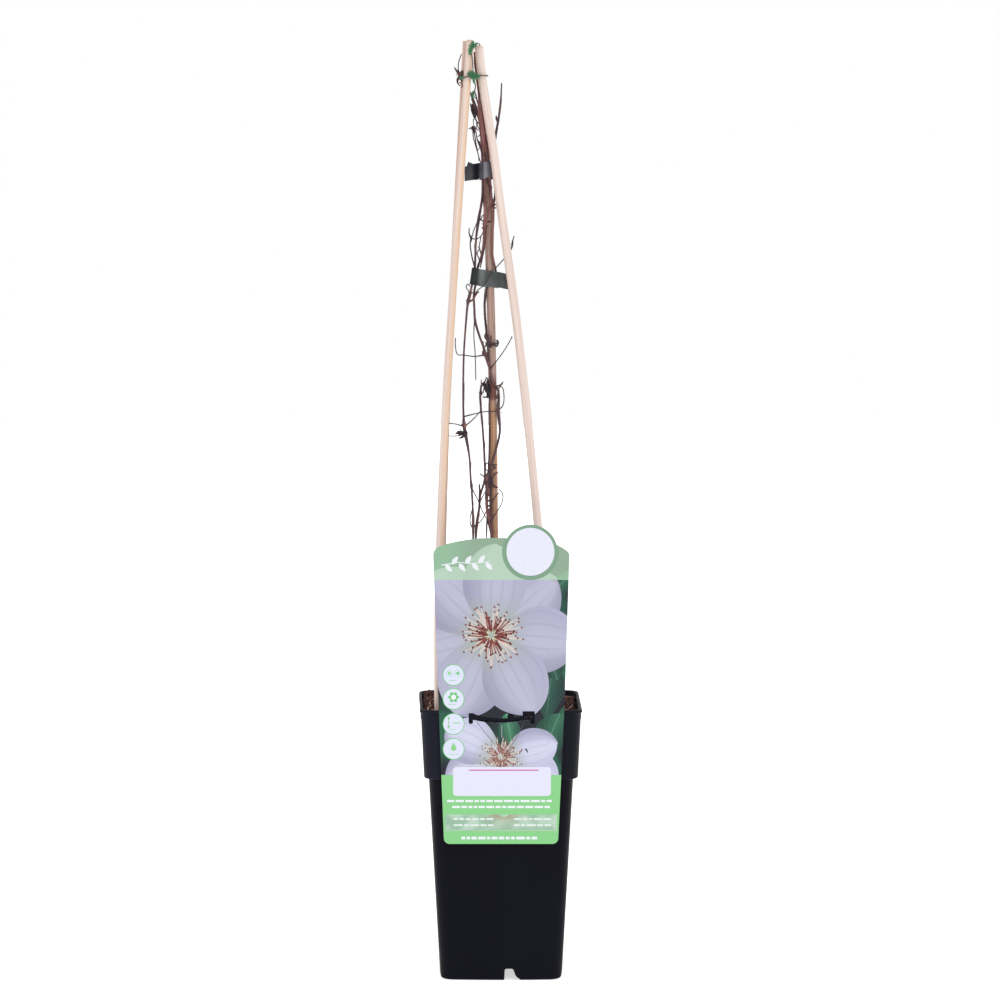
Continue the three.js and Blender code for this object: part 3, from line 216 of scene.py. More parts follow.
BACK_ROUTE = [
    [3, 13.2, 189.3, 1.1], [2.4, 13.2, 209.4, 1.1], [0.6, 13.6, 243.7, 1.1], [-1.4, 13.8, 265.8, 1.5],
    [-3.4, 13.6, 303.9, 1], [-5.2, 13.6, 344, 1], [-6.2, 13.8, 394, 1], [-6.6, 13.8, 443.8, 1.3],
    [-8.4, 13.4, 478.6, 0.95], [-10.8, 12.8, 503.4, 0.95], [-13, 10.8, 527.2, 0.95],
    [-12.6, 12.4, 537.1, 0.95], [-9, 13.8, 545, 0.95], [-4.6, 11.8, 553, 0.95], [-4.2, 8.2, 557.8, 0.95],
    [-5.4, 5.4, 563.5, 0.95], [-6.8, 4.4, 570.7, 0.95], [-6.7, 4.2, 582.6, 0.95], [-6.4, 4, 598.4, 1],
    [-6.6, 4, 608.3, 1.5], [-7.6, 4, 618.1, 0.95], [-9, 3.7, 636.8, 0.9], [-10.4, 3.6, 653.6, 0.9],
    [-12.2, 4, 669.3, 0.9], [-14.4, 4.6, 685, 0.85], [-16, 5.6, 697.8, 0.8], [-17.6, 6.4, 704.6, 0.5],
]
BACK_TWIGS = [
    # Free shoot on the right of the canes.
    [[-6.4, 4.2, 608.3, 0.9], [-4.8, 5.8, 620.1, 0.8], [-5.4, 6.8, 636.8, 0.8], [-4.8, 6.6, 659.5, 0.9],
     [-3.4, 6.4, 670.3, 1], [-2, 6.2, 678.1, 0.9], [-0.3, 5.8, 691.9, 0.9], [0, 5.8, 696.8, 0.65],
     [0.4, 5.6, 707, 0.5]],
    [[-2.6, 6.2, 676.1, 0.6], [-3.6, 6, 679.1, 0.9], [-3.8, 6, 681.5, 0.4]],
    # Spiky broken twigs at the node beside the tape, one of them across the stick.
    [[-6.6, 4, 608.3, 0.8], [-4.6, 4.2, 611.2, 0.6], [-3.4, 4.4, 610.6, 0.35]],
    [[-6.4, 4, 598.4, 0.7], [-9.8, 3.4, 597.4, 0.45], [-12, 3, 598.4, 0.4]],
    # Tendril that has curled tightly round the bamboo stick, with loose curls on both sides.
    [[-10.6, 12.7, 502.4, 0.6], [-12, 9, 500, 0.5], [-10.2, 4.9, 499, 0.8], [-6.6, 3.9, 499.8, 1],
     [-3.6, 5.3, 501, 0.8], [-2.8, 8, 502, 0.5], [-4.4, 12.2, 503.8, 0.4]],
    [[-5, 4.3, 500.3, 0.6], [-3.4, 4.4, 498.4, 0.4], [-1.9, 5, 501.6, 0.4], [-3.2, 5.2, 504, 0.35]],
    [[-11.7, 7.8, 499.7, 0.6], [-12.8, 6, 498.2, 0.4], [-13.8, 5.2, 499.8, 0.4], [-14.4, 5, 502.8, 0.35]],
]

# Each stem's route, offshoots and leaves.
STEMS = {
    "stem_outer": (OUTER_ROUTE, OUTER_TWIGS, []),
    "stem_main": (MAIN_ROUTE, MAIN_TWIGS, []),
    "stem_side": (SIDE_ROUTE, SIDE_TWIGS, SIDE_LEAVES),
    "stem_back": (BACK_ROUTE, BACK_TWIGS, []),
}

# ---------------------------------------------------------------- shapes

HAIR_SIDES = 3


class Shape:
    """Points and faces in millimetres, with what the materials read at each point."""

    def __init__(self):
        self.points, self.faces, self.grain, self.tone = [], [], [], []

    def add(self, points, faces, grain=None, tone=0.0):
        start = len(self.points)
        self.points += [tuple(point) for point in points]
        self.faces += [[start + k for k in face] for face in faces]
        self.grain += [tuple(place) for place in (grain or points)]
        self.tone += [tone] * len(points)

    def stack(self, rings):
        """Closed skin over rings of points."""
        self.add([point for ring in rings for point in ring], ring_faces(len(rings[0]), len(rings)))

    def mesh(self, name):
        mesh = bpy.data.meshes.new(name)
        mesh.from_pydata([[c * MM for c in point] for point in self.points], [], self.faces)
        grain = mesh.attributes.new("grain", "FLOAT_VECTOR", "POINT")
        grain.data.foreach_set("vector", [c * MM for place in self.grain for c in place])
        tone = mesh.attributes.new("tone", "FLOAT", "POINT")
        tone.data.foreach_set("value", self.tone)
        return mesh

    def build(self, name, look, replaces=(), sharp=None):
        dress(new_object(name, self.mesh(name)), look, replaces, sharp)


def new_object(name, mesh):
    made = bpy.data.objects.new(name, mesh)
    bpy.context.scene.collection.objects.link(made)
    return made


def dress(piece, look, replaces=(), sharp=None):
    """Gives a piece its material and its place in the frame; edges over `sharp` degrees stay crisp."""
    mesh = piece.data
    mesh.validate()
    mesh.materials.clear()
    mesh.materials.append(look)
    mesh.polygons.foreach_set("use_smooth", [True] * len(mesh.polygons))
    if sharp:
        mesh.set_sharp_from_angle(angle=math.radians(sharp))
    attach(piece, "root")
    if replaces:
        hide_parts(*replaces)


def smoothstep(value, low, high):
    share = min(max((value - low) / (high - low), 0), 1)
    return share * share * (3 - 2 * share)


def lerp(a, b, share):
    return a + (b - a) * share


def random_way(x=(-1, 1), y=(-1, 1), z=(-1, 1)):
    """Random vector with each axis inside its own range."""
    return Vector((draw.uniform(*x), draw.uniform(*y), draw.uniform(*z)))


def rod_noise(angle, along):
    """Smooth noise round a rod and along it."""
    return noise.noise(Vector((math.cos(angle), math.sin(angle), along)))


def thicken(places, radii):
    """Route of [x, y, z, radius] from places and the radius at each."""
    return [[*place, radius] for place, radius in zip(places, radii)]


def ring_faces(count, rings, looped=False):
    """Quads between rings of `count` points, and an end cap on each side unless the rings loop."""
    total = rings * count
    faces = []
    for ring in range(rings if looped else rings - 1):
        for k in range(count):
            a, b = ring * count + k, ring * count + (k + 1) % count
            faces.append([a, b, (b + count) % total, (a + count) % total])
    if not looped:
        faces += [list(range(count - 1, -1, -1)), list(range(total - count, total))]
    return faces


def follow(route, step):
    """Centre, direction, radius and length so far along a centripetal curve through [x, y, z, radius]."""
    knots = np.array(route, float)
    places = knots[:, :3]
    places = np.vstack([2 * places[0] - places[1], places, 2 * places[-1] - places[-2]])
    stations, gone, last = [], 0.0, None
    for span in range(len(route) - 1):
        a, b, c, d = places[span : span + 4]
        t0, t1, t2 = (max(np.linalg.norm(e) ** 0.5, 1e-4) for e in (b - a, c - b, d - c))
        m1 = ((b - a) / t0 - (c - a) / (t0 + t1) + (c - b) / t1) * t1
        m2 = ((c - b) / t1 - (d - b) / (t1 + t2) + (d - c) / t2) * t1
        cubic = [2 * b - 2 * c + m1 + m2, 3 * c - 3 * b - 2 * m1 - m2, m1, b]
        pieces = max(1, round(np.linalg.norm(c - b) / step))
        is_last = span == len(route) - 2
        for k in range(pieces + is_last):
            t = k / pieces
            centre = ((cubic[0] * t + cubic[1]) * t + cubic[2]) * t + cubic[3]
            along = (3 * cubic[0] * t + 2 * cubic[1]) * t + cubic[2]
            radius = lerp(*knots[span : span + 2, 3], t)
            gone += 0 if last is None else np.linalg.norm(centre - last)
            last = centre
            stations.append((Vector(centre), Vector(along).normalized(), radius, gone))
    return stations


def tube(shape, route, sides, step, surface=None, tone=0.0, flat=None):
    """Sweeps a round rod along a route. `surface` gives a factor on the radius, `flat` a half-thickness."""
    stations = follow(route, step)
    direction = stations[0][1]
    normal = (Vector((0, 1, 0)) if abs(direction.y) < 0.9 else UP).cross(direction).normalized()
    points, grain = [], []
    for centre, along, radius, gone in stations:
        normal = direction.rotation_difference(along) @ normal
        direction = along
        side = along.cross(normal)
        for k in range(sides):
            angle = math.tau * k / sides
            reach = radius * (surface(angle, gone, centre.z) if surface else 1)
            across, out = math.cos(angle), math.sin(angle)
            points.append(centre + normal * (reach * across) + side * ((flat or reach) * out))
            grain.append((radius * across, radius * out, gone))
    shape.add(points, ring_faces(sides, len(stations)), grain, tone)


def hair(shape, start, direction, length, radius, droop, tone=0.0):
    """Thin fibre that bends by `droop` on its way."""
    sag = random_way() * droop
    places = [start + direction * (length * t) + sag * (length * t * t) for t in (0, 0.33, 0.67, 1)]
    route = [[*place, radius * (1 - 0.5 * k / 3)] for k, place in enumerate(places)]
    tube(shape, route, HAIR_SIDES, step=length / 6, tone=tone)


def lump(shape, centre, size, tone=0.0, squash=(1, 1, 1)):
    """Small uneven grain, turned at random."""
    turn = Quaternion([draw.gauss(0, 1) for _ in range(4)]).normalized()
    shift = Vector((draw.uniform(0, 100), 0, 0))
    points = []
    for corner in BALL_POINTS:
        reach = size * (1 + 0.55 * noise.noise(corner * 1.7 + shift))
        stretched = Vector([c * s for c, s in zip(corner, squash)])
        points.append(centre + turn @ (stretched * reach))
    shape.add(points, BALL_FACES, tone=tone)


def ball():
    """Points and faces of a ball with 42 points."""
    shell = bmesh.new()
    bmesh.ops.create_icosphere(shell, subdivisions=2, radius=1)
    points = [vertex.co.copy() for vertex in shell.verts]
    faces = [[vertex.index for vertex in face.verts] for face in shell.faces]
    shell.free()
    return points, faces


BALL_POINTS, BALL_FACES = ball()

# ---------------------------------------------------------------- materials


class Look:
    """A material made node by node; an input takes a plain value or another node's socket."""

    def __init__(self, name, **sockets):
        self.material = bpy.data.materials.new(name)
        self.material.use_nodes = True
        self.tree = self.material.node_tree
        self.shader = self.tree.nodes["Principled BSDF"]
        self.finish(**sockets)

    def finish(self, **sockets):
        for key, value in sockets.items():
            self.plug(self.shader.inputs[key.replace("_", " ")], value)
        return self.material

    def plug(self, socket, value):
        if isinstance(value, bpy.types.NodeSocket):
            self.tree.links.new(value, socket)
        elif socket.type == "RGBA":
            socket.default_value = (*value, 1)
        else:
            socket.default_value = value

    def node(self, kind, inputs, out=0, **settings):
        made = self.tree.nodes.new("ShaderNode" + kind)
        for key, value in settings.items():
            setattr(made, key, value)
        for key, value in inputs.items():
            self.plug(made.inputs[key], value)
        return made.outputs[out]

    def value(self, name, out="Vector"):
        """What the mesh holds at a place under a name."""
        return self.node("Attribute", {}, out=out, attribute_name=name)

    def tone(self, sign=1):
        tone = self.value("tone", "Fac")
        return tone if sign > 0 else self.multiply(tone, -1.0)

    def part(self, vector, axis):
        return self.node("SeparateXYZ", {0: vector}, out=axis)

    def multiply(self, a, b):
        return self.node("Math", {0: a, 1: b}, operation="MULTIPLY")

    def noise(self, x, y, z, detail=4, roughness=0.55, distortion=0):
        """Noise over the straightened piece, with a frequency per metre on each axis."""
        places = self.node("VectorMath", {0: self.value("grain"), 1: (x, y, z)}, operation="MULTIPLY")
        inputs = {"Vector": places, "Scale": 1, "Detail": detail, "Roughness": roughness}
        return self.node("TexNoise", {**inputs, "Distortion": distortion})

    def band(self, factor, low, high, start=0, end=1):
        """Maps low..high onto start..end, smoothly and clamped."""
        inputs = {"Value": factor, "From Min": low, "From Max": high, "To Min": start, "To Max": end}
        return self.node("MapRange", inputs, interpolation_type="SMOOTHSTEP")

    def mix(self, factor, a, b, blend="MIX"):
        return self.node("Mix", {0: factor, 6: a, 7: b}, out=2, data_type="RGBA", blend_type=blend)

    def fade(self, factor, low, high, a, b, most=1):
        """Goes from colour `a` to `b` as the factor goes from low to high, at most by a share."""
        return self.mix(self.band(factor, low, high, 0, most), a, b)

    def bump(self, height, strength, distance, **base):
        return self.node("Bump", {"Height": height, "Strength": strength, "Distance": distance, **base})


def srgb(red, green, blue):
    """Linear colour from 0..255 screen values."""
    shares = [c / 255 for c in (red, green, blue)]
    return tuple(c / 12.92 if c <= 0.04045 else ((c + 0.055) / 1.055) ** 2.4 for c in shares)


def pot_look():
    """Matt black plastic, rubbed pale low on its front (tone up to 1), with a painted reflection that greys
    the collar (tone -1).
    """
    look = Look("black_plastic", Specular_IOR_Level=0.07, Specular_Tint=(0.86, 0.86, 1))
    fine = look.noise(900, 900, 900, detail=3)
    cloud = look.noise(14, 14, 9, detail=5, roughness=0.6)
    rubs = look.noise(60, 60, 420, detail=6, roughness=0.75, distortion=0.4)
    waves = look.noise(30, 30, 12, detail=2)
    rub = look.multiply(look.band(rubs, 0.66, 0.78), look.band(look.tone(), 0.1, 1))
    base = look.fade(cloud, 0.35, 0.7, srgb(6, 6, 13), srgb(12, 12, 21))
    base = look.mix(look.multiply(rub, 0.5), base, srgb(70, 70, 80))
    # Painted reflection: tone -1 greys the collar like a sheen, more on its left.
    base = look.mix(look.tone(-1), base, srgb(24, 24, 34))
    rough = look.band(cloud, 0.3, 0.75, 0.42, 0.6)
    grains = look.bump(fine, 0.12, 0.0002)
    relief = look.bump(waves, 0.25, 0.0012, Normal=grains)
    return look.finish(Base_Color=base, Roughness=rough, Normal=relief)


def soil_look():
    """Damp coir and peat: reddish brown, darker in the low parts of its bump, which paints shade into the
    hollows, with paler dry bits.
    """
    look = Look("coir_soil", Specular_IOR_Level=0.2)
    lumps = look.noise(260, 260, 260, detail=8, roughness=0.7)
    patches = look.noise(55, 55, 55, detail=3)
    # Painted shade: the colour darkens where the bump below is low.
    base = look.fade(lumps, 0.32, 0.68, srgb(34, 19, 20), srgb(86, 53, 51))
    base = look.fade(patches, 0.45, 0.75, base, srgb(58, 32, 30), 0.5)
    base = look.mix(look.tone(), base, srgb(150, 108, 84))
    rough = look.band(lumps, 0.3, 0.7, 0.8, 0.98)
    return look.finish(Base_Color=base, Roughness=rough, Normal=look.bump(lumps, 0.9, 0.0009))


def fibre_look():
    """Coir hairs and dry roots, from red brown at tone 0 to straw at tone 1."""
    look = Look("coir_fibre", Specular_IOR_Level=0.3)
    streak = look.noise(900, 900, 120)
    dark = look.mix(streak, srgb(66, 34, 24), srgb(112, 66, 46))
    pale = look.mix(streak, srgb(148, 118, 96), srgb(206, 186, 164))
    rough = look.band(streak, 0.2, 0.8, 0.5, 0.85)
    return look.finish(Base_Color=look.mix(look.tone(), dark, pale), Roughness=rough)


def cane_look():
    """Pale planed dowel with straight grain, pores and growth bands: darker at tone 1, which paints shade,
    warmer at tone -1.
    """
    look = Look("pale_dowel", Specular_IOR_Level=0.28)
    streaks = look.noise(620, 620, 9, detail=6, roughness=0.62, distortion=0.15)
    bands = look.noise(190, 190, 4, detail=2)
    flecks = look.noise(2600, 2600, 130, detail=2)
    blotch = look.noise(40, 40, 14, detail=3)
    base = look.fade(streaks, 0.3, 0.72, srgb(197, 177, 167), srgb(216, 202, 195))
    base = look.fade(bands, 0.5, 0.7, base, srgb(207, 180, 160), 0.4)
    base = look.fade(blotch, 0.55, 0.8, base, srgb(205, 188, 182), 0.25)
    base = look.fade(flecks, 0.7, 0.8, base, srgb(160, 122, 100), 0.25)
    # Painted shade: tone 1 darkens the side of a dowel away from the light, and the whole back cane.
    base = look.mix(look.tone(), base, srgb(172, 139, 120))
    base = look.mix(look.tone(-1), base, srgb(205, 174, 147))
    rough = look.band(streaks, 0.3, 0.7, 0.62, 0.48)
    return look.finish(Base_Color=base, Roughness=rough, Normal=look.bump(streaks, 0.35, 0.00025))


def bamboo_look():
    """Weathered bamboo: grey pink above, olive brown lower down, dark at the joints."""
    look = Look("weathered_bamboo", Specular_IOR_Level=0.35)
    streaks = look.noise(900, 900, 11, detail=6, roughness=0.65)
    stains = look.noise(120, 120, 22, detail=5, roughness=0.6)
    height = look.part(look.value("grain"), 2)
    upper = look.fade(streaks, 0.3, 0.7, srgb(131, 101, 90), srgb(171, 144, 133))
    lower = look.fade(streaks, 0.3, 0.7, srgb(138, 100, 74), srgb(180, 142, 112))
    base = look.fade(height, 0.325, 0.337, lower, upper)
    base = look.fade(stains, 0.55, 0.75, base, srgb(104, 66, 54), 0.7)
    base = look.mix(look.tone(), base, srgb(98, 46, 36))
    rough = look.band(stains, 0.3, 0.7, 0.42, 0.62)
    return look.finish(Base_Color=base, Roughness=rough, Normal=look.bump(streaks, 0.4, 0.0003))


def bark_look():
    """Vine bark: plum brown, redder where it has peeled (tone 1), black where it is dead (tone -1)."""
    look = Look("vine_bark", Specular_IOR_Level=0.3)
    streaks = look.noise(1500, 1500, 45, detail=6, roughness=0.7, distortion=0.2)
    patches = look.noise(160, 160, 28)
    outer = look.fade(streaks, 0.3, 0.7, srgb(42, 30, 36), srgb(90, 68, 72))
    inner = look.fade(streaks, 0.3, 0.7, srgb(90, 50, 47), srgb(164, 112, 104))
    peeled = {0: look.band(patches, 0.48, 0.7, 0, 0.6), 1: look.tone()}
    base = look.mix(look.node("Math", peeled, operation="MAXIMUM"), outer, inner)
    base = look.mix(look.tone(-1), base, srgb(13, 10, 15))
    rough = look.band(streaks, 0.3, 0.7, 0.5, 0.8)
    return look.finish(Base_Color=base, Roughness=rough, Normal=look.bump(streaks, 0.7, 0.0003))


def tape_look(name, dull, pale):
    """Soft plastic tape with a fine drawn grain; tone up to 1 paints shade, darker and duller in its folds
    and shaded parts, and tone 0 paints highlights.
    """
    look = Look(name)
    drawn = look.noise(40, 700, 40, detail=3)
    cloud = look.noise(90, 90, 90, detail=3)
    tone = look.tone()
    base = look.mix(tone, look.fade(cloud, 0.3, 0.7, dull, pale), srgb(8, 7, 12))
    shine = look.band(tone, 0, 1, 0.45, 0.05)
    rough = look.band(cloud, 0.3, 0.7, 0.3, 0.42)
    crinkle = look.bump(drawn, 0.3, 0.0002)
    return look.finish(Base_Color=base, Roughness=rough, Specular_IOR_Level=shine, Normal=crinkle)


def twine_look():
    """Thin dark wire at tone 0, green chenille fuzz at tone 1."""
    look = Look("green_twine", Specular_IOR_Level=0.3, Sheen_Weight=0.25)
    twist = look.noise(2200, 2200, 900, detail=3)
    wire = look.mix(twist, srgb(52, 48, 44), srgb(104, 98, 84))
    fuzz = look.mix(twist, srgb(22, 92, 54), srgb(66, 152, 100))
    rough = look.band(twist, 0.2, 0.8, 0.55, 0.9)
    return look.finish(Base_Color=look.mix(look.tone(), wire, fuzz), Roughness=rough)


def card_look():
    """Glossy printed card: ink colours at the face corners, veins drawn from the petals' own places."""
    look = Look("printed_card", Specular_IOR_Level=0.2)
    across, depth = (look.part(look.value("vein"), axis) for axis in (0, 2))
    stripes = look.node("Math", {0: look.multiply(across, 17.0)}, operation="SINE")
    grooves = look.multiply(look.band(stripes, 0.55, 1.0), depth)
    base = look.mix(grooves, look.value("ink", "Color"), srgb(150, 146, 176))
    fleck = look.noise(1400, 1400, 1400, detail=2)
    base = look.fade(fleck, 0.3, 0.7, base, srgb(30, 60, 50), 0.07)
    base = look.mix(1.0, base, (0.7, 0.71, 0.745), "MULTIPLY")
    rough = look.band(fleck, 0.2, 0.8, 0.24, 0.32)
    wave = look.noise(16, 16, 11, detail=1)
    return look.finish(Base_Color=base, Roughness=rough, Normal=look.bump(wave, 0.2, 0.001))


# ---------------------------------------------------------------- pot

SIDE_STEPS, CORNER_STEPS, BODY_STEPS = 12, 9, 15
DRAIN_SIDES = 20
RUBBED, UNRUBBED = 20, 66  # rub marks are strongest up to the first height and gone at the second


def spread(x, y, z):
    """The thin collar is pushed out of square by the soil at its back left corner."""
    up = smoothstep(z, POT.collar_foot, POT.height)
    back = smoothstep(y, -POT.lip_half, POT.lip_half)
    left = min(max(-x / POT.lip_half, 0), 1)
    return x - POT.back_left_spread * up * back * left, y, z


def level(half, corner, z, bow=0.0):
    """One level of the pot: a square with rounded corners and gently bowed sides."""
    edge = []
    for k in range(1, SIDE_STEPS):
        t = 2 * k / SIDE_STEPS - 1
        edge.append((half + bow * (1 - t * t), t * (half - corner)))
    for k in range(CORNER_STEPS + 1):
        angle = k / CORNER_STEPS * QUARTER
        edge.append((half - corner + corner * math.cos(angle), half - corner + corner * math.sin(angle)))
    points = []
    for run, rise in ((1, 0), (0, 1), (-1, 0), (0, -1)):
        points += [spread(out * run - along * rise, out * rise + along * run, z) for out, along in edge]
    return points


def inner_levels():
    """Levels of the hollow from the lip down."""
    p, wall = POT, POT.wall
    shelf = p.collar_foot + wall
    corner, body = p.collar_corner - wall, p.body_corner - wall
    middle_half = (p.body_half + p.foot_half) / 2
    return [
        level(p.collar_top_half - wall, corner, p.band_foot),
        level(p.collar_half - wall, corner, shelf + p.collar_edge),
        level(p.collar_half - wall - p.collar_edge, corner, shelf),
        level(p.body_half - wall, body, shelf - wall, p.bow),
        level(middle_half - wall, body, p.collar_foot / 2, p.bow),
        level(p.foot_half - wall, body - 2, p.foot_fillet + p.floor, p.bow),
        level(p.foot_half - wall - 1.5, body - 3, p.floor, p.bow),
    ]


def outer_levels():
    """Levels of the outside from the base up: foot, tapered body, collar, band and beaded lip."""
    p, wall, fillet = POT, POT.wall, POT.foot_fillet
    body_top, collar_top = p.collar_foot - 0.5, p.collar_foot + p.collar_edge
    rows = [(p.foot_half - fillet, p.body_corner - 4, 0, p.bow)]
    for share in (0.25, 0.5, 0.75):
        out, up = 1 - math.sin(share * QUARTER), 1 - math.cos(share * QUARTER)
        rows.append((p.foot_half - fillet * out, p.body_corner - 3, fillet * up, p.bow))
    for share in np.linspace(0, 1, BODY_STEPS):
        half, corner = lerp(p.foot_half, p.body_half, share), p.body_corner - 2 * (1 - share)
        rows.append((half, corner, lerp(fillet, body_top, share), p.bow))
    collar = [
        (p.body_half + 0.6, p.collar_foot - 0.25), (p.collar_half - 1.6, p.collar_foot),
        (p.collar_half - 0.7, p.collar_foot + 0.2), (p.collar_half - 0.15, p.collar_foot + 0.8),
        (p.collar_half, collar_top),
    ]
    rows += [(half, p.collar_corner, z) for half, z in collar]
    for share in (0.25, 0.5, 0.75, 1):
        half = lerp(p.collar_half, p.collar_top_half, share)
        rows.append((half, p.collar_corner, lerp(collar_top, p.band_foot, share)))
    band_height = p.lip_foot - p.band_foot
    band = [(p.band_half - 0.15, 0.15), (p.band_half, 0.5), (p.band_half, band_height - 0.3)]
    rows += [(half, p.collar_corner - 1, p.band_foot + rise) for half, rise in band]
    lip = [(0.9, -2.9), (0.3, -2.7), (0, -2.2), (0, -1.2), (0.2, -0.6), (0.6, -0.2), (1.2, 0)]
    rows += [(p.lip_half - inset, p.lip_corner, p.height + rise) for inset, rise in lip]
    rolled = [(wall - 0.9, -0.1), (wall - 0.3, -0.8), (wall, -2.4)]
    rows += [(p.collar_top_half - inset, p.collar_corner - wall, p.height + rise) for inset, rise in rolled]
    return [level(*row) for row in rows]


def bar(first, last, side):
    """Tool between two outlines of [x, y, z], turned to one of the pot's four sides."""
    turn = Quaternion(UP, side * QUARTER)
    shape = Shape()
    shape.stack([[turn @ Vector(place) for place in outline] for outline in (first, last)])
    return new_object("tool", shape.mesh("tool"))


def channel_bar(side, near, far, grow=0.0):
    """
    A side's channel from `near` to `far` of the middle: upright on one side and sloping on the other.
    With `grow` it is the thicker bar that leaves the channel its own walls.
    """
    left, right, top = CHANNEL.near - grow, CHANNEL.far + grow, CHANNEL.height + grow
    foot = POT.floor / 2 if grow else -1
    low = grow / 2
    outline = [
        (left, foot), (left + 0.7, 0.5 + low), (left + 1.2, 1.5 + low), (left + 1.4, top - 1.5),
        (left + 1.7, top - 0.5), (left + 2.5, top), (right - 7.9, top), (right - 7.1, top - 0.4),
        (right - 6.5, top - 1.4), (right - 5, top - 5.4), (right - 4, 2.8 + low), (right - 2.7, 1.8 + low),
        (right - 1.4, 0.8 + low), (right, foot),
    ]
    return bar([(x, -far, z) for x, z in outline], [(x, -near, z) for x, z in outline], side)


def drain_bar(side):
    """Drain hole through a channel's roof."""
    c = CHANNEL
    x, y, radius = (c.near + c.far) / 2 - 2, -c.inner - c.drain_inset, c.drain_radius
    turns = np.linspace(0, math.tau, DRAIN_SIDES, endpoint=False)
    ring = [(x + radius * math.cos(turn), y + radius * math.sin(turn)) for turn in turns]
    low, high = ([(*place, c.height + rise) for place in ring] for rise in (-3.5, 4.5))
    return bar(low, high, side)


def carve(piece, tool, operation):
    """Joins a tool to a piece or cuts it away, then drops the tool."""
    change = piece.modifiers.new("carve", "BOOLEAN")
    change.object, change.operation, change.solver = tool, operation, "EXACT"
    graph = bpy.context.evaluated_depsgraph_get()
    done = bpy.data.meshes.new_from_object(piece.evaluated_get(graph))
    piece.modifiers.clear()
    piece.data = done
    bpy.data.objects.remove(tool)


def wear_and_sheen(x, y, z):
    """Rub marks low on the front, and a painted reflection that greys the collar, most of all on its left.
    """
    if z > POT.collar_foot:
        return lerp(-1, -0.5, smoothstep(x, -40, 40))
    return 1 - smoothstep(z, RUBBED, UNRUBBED) if y < -40 else 0


def make_pot(look):
    shape = Shape()
    shape.stack(outer_levels() + inner_levels())
    shape.tone = [wear_and_sheen(*point) for point in shape.points]
    pot = new_object("pot_shell", shape.mesh("pot_shell"))
    for side in range(4):
        carve(pot, channel_bar(side, CHANNEL.inner - POT.wall, POT.foot_half - 0.8, POT.wall), "UNION")
        carve(pot, channel_bar(side, CHANNEL.inner, CHANNEL.outer), "DIFFERENCE")
        carve(pot, drain_bar(side), "DIFFERENCE")
    dress(pot, look, ["pot"], sharp=38)


# ---------------------------------------------------------------- soil

CRUST_RINGS, CRUMBS, FIBRES = 52, 1500, 1300
CRUST_DEPTH, CRUST_RISE = 7, 0.45

# Crumbs that stick to the front of the lip: x, z and size.
STRAY_CRUMBS = [
    (19.4, 210.5, 1.1), (21.5, 213.1, 0.9), (23.6, 211.5, 1.2), (20.6, 214.4, 0.7), (-3.6, 212.1, 0.8),
    (-21, 212.7, 0.6),
]

# Pale dry roots on the soil by the left, right and front walls: [x, y, z, radius].
ROOTS = [
    [[-58.4, -40, 206.4, 0.5], [-57.6, -34, 212.1, 0.5], [-57.8, -24, 212.9, 0.45], [-56, -10, 212.7, 0.4],
     [-57, 4, 213.3, 0.35], [-54, 16, 214.5, 0.3], [-50, 22, 214.1, 0.2]],
    [[-57, -52, 207.4, 0.4], [-55.4, -50, 212.3, 0.4], [-53.6, -44, 213.5, 0.35], [-54, -36, 212.5, 0.3],
     [-57, -30, 211.1, 0.2]],
    [[56.4, -50, 203, 0.35], [54.6, -42, 208, 0.35], [50.4, -26, 210.5, 0.3], [54.6, -8, 210.3, 0.3],
     [57.4, 10, 211.1, 0.2]],
    [[-22, -55, 210.1, 0.3], [-12, -56.6, 212.3, 0.3], [-2, -55.6, 212.1, 0.25], [6, -57, 210.9, 0.2]],
]


def soil_height(x, y):
    """Height of the soil, as in the part's source: heaped to the back and sunk by the right wall."""
    reach = POT.collar_top_half
    dip = SOIL.right_dip * smoothstep(x, reach * 0.5, reach)
    lumps = (
        math.sin(x * 0.37 + 1.3) * math.cos(y * 0.31 - 0.4)
        + 0.6 * math.sin(x * 0.83 - y * 0.57)
        + 0.5 * math.cos(x * 0.29 + y * 0.97 + 2)
    )
    slope = (SOIL.back_rise * y - SOIL.left_rise * x) / reach
    return SOIL.level + slope - dip + SOIL.lump * lumps


def crust_height(x, y):
    """Height of the rough crust on the soil, which fills most of the dip again behind the middle."""
    place = Vector((x, y, 0))
    reach = POT.collar_top_half
    heaped = 0.8 * SOIL.right_dip * smoothstep(x, reach * 0.5, reach) * smoothstep(y, 0, 45)
    return (
        soil_height(x, y) + CRUST_RISE + heaped
        + 0.8 * noise.noise(place * 0.45)
        + 0.7 * noise.noise(place * 1.1 + Vector((9, 0, 0)))
        + 0.4 * noise.noise(place * 2.6)
    )


def soil_place():
    """Random place on the soil, inside the walls and clear of their corners."""
    half = POT.collar_top_half - POT.wall - 1.4
    while True:
        x, y = draw.uniform(-half, half), draw.uniform(-half, half)
        if max(abs(x), abs(y)) + 0.42 * min(abs(x), abs(y)) < half * 1.29:
            return x, y


def make_crust(look):
    shape = Shape()
    half, corner = POT.collar_top_half - POT.wall - 0.25, POT.collar_corner - POT.wall
    rings = []
    for k in range(CRUST_RINGS + 1):
        share = 1 - 0.985 * k / CRUST_RINGS
        sunk = 1.6 * smoothstep(share, 0.96, 1)
        outline = level(half * share, corner * share, POT.band_foot)
        rings.append([(x, y, crust_height(x, y) - sunk) for x, y, _ in outline])
    edge = [(x, y, z - CRUST_DEPTH) for x, y, z in rings[0]]
    underside = [(x * 0.97, y * 0.97, soil_height(x, y) - CRUST_DEPTH - 1) for x, y, _ in rings[0]]
    shape.stack([underside, edge, *rings])
    shape.tone = [0.25 * max(0, noise.noise(Vector(point) * 0.2)) for point in shape.points]
    shape.build("soil_crust", look, ["soil"])


